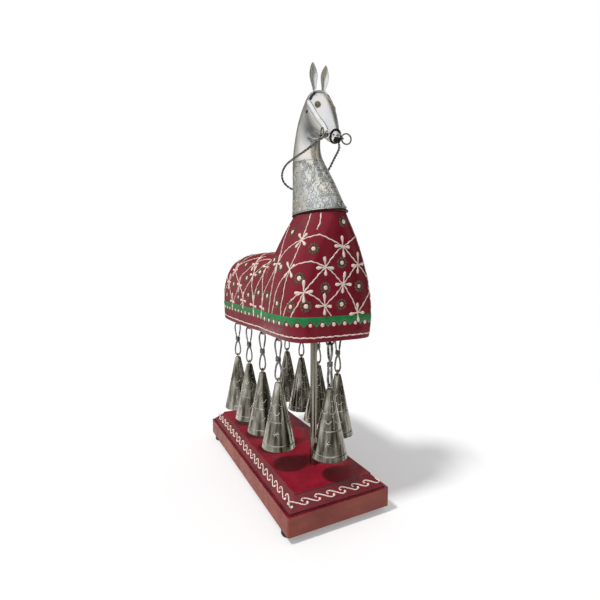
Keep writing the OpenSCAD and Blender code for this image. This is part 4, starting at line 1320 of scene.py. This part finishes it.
def make_engraving(neck):
    """Chased flowers, leaves and scrolls round the lower neck, and the strokes of the mane; each
    line is a dark groove with a bright line of painted highlight shifted up beside it.
    """
    search = skin_of(neck)
    grooves, highlight_lines = [], []

    def lay(points, shift):
        # Each line is laid twice: the dark groove, then the bright line of painted highlight,
        # shifted up
        for lines, radius, move in ((grooves, GROOVE_R, 0.0), (highlight_lines, HIGHLIGHT_R, 1.0)):
            lines.append([(search.find_nearest(p + shift * move)[0], radius * MM) for p in points])

    def draw(t, v, motif):
        up = neck_along(t, v)
        side = up.cross(neck_out(t, v))
        shift = (up - side) * HIGHLIGHT_SHIFT * MM
        for line in motif:
            lay([neck_at(t, v) + (side * a + up * b) * MOTIF_SIZE * MM for a, b in line], shift)

    lift = Vector((0, 0, HIGHLIGHT_SHIFT * MM))
    for t in (BORDER_T, ENGRAVED_TOP):
        lay([neck_at(t, 360 * k / BORDER_POINTS) for k in range(BORDER_POINTS + 1)], lift)
    rise = (ENGRAVED_TOP - ENGRAVED_MARGIN - ENGRAVED_FROM) / (ENGRAVED_ROWS - 1)
    for row in range(ENGRAVED_ROWS):
        count = ENGRAVED_COUNT - row
        for k in range(count):
            slip = random.uniform(-ENGRAVED_SLIP, ENGRAVED_SLIP)
            v = 360 * (k + 0.5 * (row % 2) + slip) / count
            draw(ENGRAVED_FROM + rise * row, v, random.choice(MOTIFS)())
    for k in range(MANE_COUNT):
        for side in (-1, 1):
            draw(ENGRAVED_TOP + MANE_FROM + k * MANE_STEP, side * MANE_V,
                 [[(side * a, b) for a, b in MANE_STROKE]])
    for name, lines, mat in (("neck_engraving", grooves, engraved),
                             ("neck_engraving_highlight", highlight_lines, bright_silver)):
        mesh = tube_mesh(name, lines, 4)
        flatten(mesh, search, ENGRAVED_FLATNESS)
        dress(object_from(name, mesh, mat), "stand", "silver_sheet")


neck = make_neck()
make_head()
make_ears()
make_face()
make_bridle()
make_engraving(neck)


# The twisted wire rein

REIN_STEP, REIN_PITCH, REIN_EASE = 0.4, 5.0, 16
# The strands' distance from the middle and their radius, at the rein's ends and farther in
STRAND_OFF, STRAND_WIRE = (0.12, 0.38), (0.26, 0.44)
REIN_EYE_POINTS = 32


def between(limits, share):
    return limits[0] + (limits[1] - limits[0]) * share


def make_rein():
    """Two strands wound round each other, with an eye at each end."""
    ends = [(BIT_X - REIN_EYE_R * math.cos(REIN_DIP), s * REIN_EYE_Y,
             BIT_Z - REIN_EYE_R * math.sin(REIN_DIP)) for s in (-1, 1)]
    route = [ends[0]] + [(x + NECK_X, y, z + SEAT_Z) for x, y, z in REIN_POINTS] + [ends[1]]
    path = path_through(route, REIN_STEP)
    last = len(path) - 1
    strands = [[], []]
    for k, p in enumerate(path):
        way = (path[min(k + 1, last)] - path[max(k - 1, 0)]).normalized()
        side = way.cross(Vector((0, 0, 1))).normalized()
        up = side.cross(way)
        ease = min(1, k / REIN_EASE, (last - k) / REIN_EASE)
        for s, strand in enumerate(strands):
            a = math.tau * (k * REIN_STEP / REIN_PITCH) + math.pi * s
            off = (side * math.cos(a) + up * math.sin(a)) * between(STRAND_OFF, ease) * MM
            strand.append((p + off, between(STRAND_WIRE, ease) * MM))
    eyes = [loop_line(Vector((BIT_X, s * REIN_EYE_Y, BIT_Z)) * MM, Vector((REIN_EYE_R * MM, 0, 0)),
                      Vector((0, 0, REIN_EYE_R * MM)), REIN_WIRE_R * MM, REIN_EYE_POINTS)
            for s in (-1, 1)]
    bm = bmesh.new()
    bm.from_mesh(tube_mesh("rein_strands", strands, 8))
    bm.from_mesh(tube_mesh("rein_eyes", eyes, 10, closed=True))
    dress(object_from("twisted_rein", mesh_from("twisted_rein", bm), rein_wire),
          "rein", "dark_wire", "rein")


make_rein()


# Links and bells

def bell_frame(i):
    """Where a bell hangs; the front one is turned across the others."""
    x, y = BELL_PLACES[i]
    turn = Matrix.Rotation(math.radians(90 if i == FRONT_BELL else 0), 4, "Z")
    return Matrix.Translation(Vector((x, y, 0)) * MM) @ turn


LINK_WIRE_R, LINK_SPREAD, LINK_POINTS = 0.47, 0.43, 96
BIND_R, BIND_WIRE_R, BIND_REACH, BIND_TURNS, BIND_STEPS = 1.55, 0.36, 1.5, 4, 16


def link_point(t, spread):
    """A wire of a figure-eight link, twisted half round at its waist."""
    c, s = math.cos(t), math.sin(t)
    u = min(max(c / TWIST_REACH, -1), 1)
    turn = math.pi / 2 * (1 - u * (1.5 - 0.5 * u * u)) + (math.pi if t > math.pi else 0)
    wide = math.hypot(LINK_W / 2 * math.sin(2 * t), STRAND_R * s * s)
    return Vector((wide * math.sin(turn) + spread * math.cos(turn),
                   wide * math.cos(turn) - spread * math.sin(turn),
                   LINK_MID_Z + LINK_L / 2 * c)) * MM


def make_link(i):
    """Two wires side by side make the eight, and a third is wound round its waist."""
    place = bell_frame(i)
    wires = [[(place @ link_point(math.tau * k / LINK_POINTS, spread), LINK_WIRE_R * MM)
              for k in range(LINK_POINTS)] for spread in (-LINK_SPREAD, LINK_SPREAD)]
    bind, last = [], BIND_STEPS * BIND_TURNS
    for k in range(last + 1):
        turn, rise = math.tau * k / BIND_STEPS, 2 * k / last - 1
        spot = Vector((BIND_R * math.cos(turn), BIND_R * math.sin(turn),
                       LINK_MID_Z + BIND_REACH * rise))
        bind.append((place @ (spot * MM), BIND_WIRE_R * MM))
    bm = bmesh.new()
    bm.from_mesh(tube_mesh("eight", wires, 8, closed=True))
    bm.from_mesh(tube_mesh("bind", [bind], 8))
    mesh = mesh_from(f"wire_link_{i}", bm)
    dress(object_from(f"wire_link_{i}", mesh, dark_wire), f"link_{i}", "dark_wire", f"link_{i}")


def bell_outer(z):
    return BELL_R + (BELL_TOP_R - BELL_R) * z / BELL_H


TURNED_LINES = (3.4, 18.0)
# A turned line's section, as (height in half widths, depth as a share)
TURNED_SECTION = ((-1.5, 0), (-1, 0), (0, 1), (1, 0), (1.5, 0))
TURNED_DEPTH, TURNED_HALF, TURNED_NEXT = 0.2, 0.3, 8
RIM_ROUND, RIM_RISE, RIM_TOP, CROWN_ROUND = 0.1, 0.12, 1.0, 0.35
UPPER_ROWS = (32.0, 38.0, 42.4)
LAP_RISE, LAP_SHARE, LAP_EDGE = 0.4, 0.14, math.radians(0.7)
BELL_STEPS, CROWN_POINTS, BAR_SIDES = 56, 32, 16
# Where each bell's lapped seam runs, as an angle round the bell
SEAM_TURNS = {1: -70, 2: 20, 3: 2, 4: 6, 5: 40, 6: 130, 7: 10, 8: -74, 9: 20}
ARC_COUNT, ARC_ROWS, ARC_DIP, ARC_SHARE, ARC_R = 6, (24.5, 30.0), 1.8, (0.6, 0.85), 0.17
STAR_Z, STAR_ARMS, STAR_SLIP, STAR_REACH, STAR_R = 11.0, 3, 0.3, (1.2, 2.1), 0.16
DOT_ROWS, DOT_HALF, DOT_WIRE_R = (20.0, 27.0, 33.0, 36.0), 0.3, 0.2
# Rings of painted glint along the turned lines: their points, lift off the cone and radius
LINE_POINTS, LINE_LIFT, LINE_R = 48, 0.02, 0.1


def bell_profile():
    """Outside of a bell from its rim up, with turned lines, then its inside back down."""
    points = [(BELL_R - RIM_ROUND, 0.0), (BELL_R, RIM_RISE), (bell_outer(RIM_TOP), RIM_TOP)]
    for z in TURNED_LINES:
        for step, share in TURNED_SECTION:
            height = z + step * TURNED_HALF
            points.append((bell_outer(height) - TURNED_DEPTH * share, height))
        points.append((bell_outer(z + TURNED_NEXT), z + TURNED_NEXT))
    points += [(bell_outer(z), z) for z in UPPER_ROWS]
    points += [(BELL_TOP_R - CROWN_ROUND, BELL_H), (0.0, BELL_H)]
    slope = (BELL_R - BELL_TOP_R) / BELL_H
    inside = BELL_R - BELL_WALL
    points += [(0.0, BELL_ROOF), (inside - slope * BELL_ROOF, BELL_ROOF), (inside, 0.0)]
    return points


def lap_seam(bm):
    """Lifts the sheet's free edge where the rolled cone laps over itself."""
    for vert in bm.verts:
        z = vert.co.z / MM - BELL_Z
        r, turn = math.hypot(vert.co.x, vert.co.y), math.atan2(vert.co.y, vert.co.x) % math.tau
        if r < (bell_outer(z) - BELL_WALL / 2) * MM or z > BELL_ROOF:
            continue
        share = turn / math.tau
        if share > 1 - 1.5 / BELL_STEPS:
            turn = -LAP_EDGE
        r += LAP_RISE * max(0, 1 - share / LAP_SHARE) * MM
        vert.co.x, vert.co.y = r * math.cos(turn), r * math.sin(turn)


def cone_point(z, turn, out=0.0):
    """Point on the outside of a bell, in millimetres, before the bell is put in its place."""
    r = bell_outer(z) + out
    return Vector((r * math.cos(turn), r * math.sin(turn), BELL_Z + z))


def bell_marks():
    """Engraved arcs, star scratches and columns of dots on a bell, and a bright ring of painted
    glint along each turned line.
    """
    lines = []
    start = random.uniform(0, math.tau)
    half = math.pi / ARC_COUNT
    for k in range(ARC_COUNT):
        for row, z in enumerate(ARC_ROWS):
            middle = start + half * (2 * k + row)
            reach = half * random.uniform(*ARC_SHARE)
            lines.append([
                (cone_point(z - ARC_DIP * (1 - s * s), middle + s * reach) * MM, ARC_R * MM)
                for s in (j / 5 - 1 for j in range(11))])
        middle = start + half * 2 * k
        for star in range(STAR_ARMS):
            a = math.pi * star / STAR_ARMS + random.uniform(-STAR_SLIP, STAR_SLIP)
            reach = random.uniform(*STAR_REACH)
            rise, aside = reach * math.sin(a), reach * math.cos(a) / bell_outer(STAR_Z)
            lines.append([(cone_point(STAR_Z + rise * s, middle + aside * s) * MM, STAR_R * MM)
                          for s in (-1, -0.33, 0.33, 1)])
        for z in DOT_ROWS:
            lines.append([(cone_point(z + s, middle + half) * MM, DOT_WIRE_R * MM)
                          for s in (-DOT_HALF, DOT_HALF)])
    # A bright ring along the top of each turned line paints its glint
    for z in TURNED_LINES:
        turns = [math.tau * k / LINE_POINTS for k in range(LINE_POINTS + 1)]
        lines.append([(cone_point(z + TURNED_HALF, a, LINE_LIFT) * MM, LINE_R * MM) for a in turns])
    return lines


def make_bell(i):
    """A rolled cone with a lapped seam, its crown ring, the clapper's bar, scratched marks and rings
    of painted glint.
    """
    bm = bmesh.new()
    verts = [bm.verts.new((r * MM, 0, (BELL_Z + z) * MM)) for r, z in bell_profile()]
    edges = [bm.edges.new(pair) for pair in zip(verts, verts[1:] + verts[:1])]
    bmesh.ops.spin(bm, geom=verts + edges, cent=(0, 0, 0), axis=(0, 0, 1), angle=math.tau,
                   steps=BELL_STEPS, use_merge=True)
    lap_seam(bm)
    seam = Matrix.Rotation(math.radians(SEAM_TURNS[i]), 4, "Z")
    bmesh.ops.transform(bm, matrix=seam, verts=bm.verts)
    bar_l = 2 * (bell_outer(CLAPPER_BAR_Z - BELL_Z) - BELL_WALL / 2)
    bar_place = Matrix.Translation((0, 0, CLAPPER_BAR_Z * MM)) @ Matrix.Rotation(math.pi / 2, 4, "Y")
    bmesh.ops.create_cone(
        bm, segments=BAR_SIDES, radius1=CLAPPER_BAR_R * MM, radius2=CLAPPER_BAR_R * MM,
        depth=bar_l * MM, cap_ends=True, matrix=bar_place)
    crown = loop_line(Vector((0, 0, BELL_HINGE_Z)) * MM, Vector((CROWN_R * MM, 0, 0)),
                      Vector((0, 0, CROWN_R * MM)), CROWN_WIRE_R * MM, CROWN_POINTS)
    bm.from_mesh(tube_mesh("crown", [crown], 10, closed=True))
    merge(bm)
    plain = len(bm.faces)
    bm.from_mesh(tube_mesh("marks", bell_marks(), 4))
    bm.faces.ensure_lookup_table()
    for face in bm.faces[plain:]:
        face.material_index = 1
    bmesh.ops.transform(bm, matrix=bell_frame(i), verts=bm.verts)
    mesh = mesh_from(f"cone_bell_{i}", bm, sharp=40)
    dress(object_from(f"cone_bell_{i}", mesh, pewter, glint_and_scratch),
          f"bell_{i}", "pewter", f"bell_{i}")


for i in BELL_PLACES:
    make_link(i)
    make_bell(i)
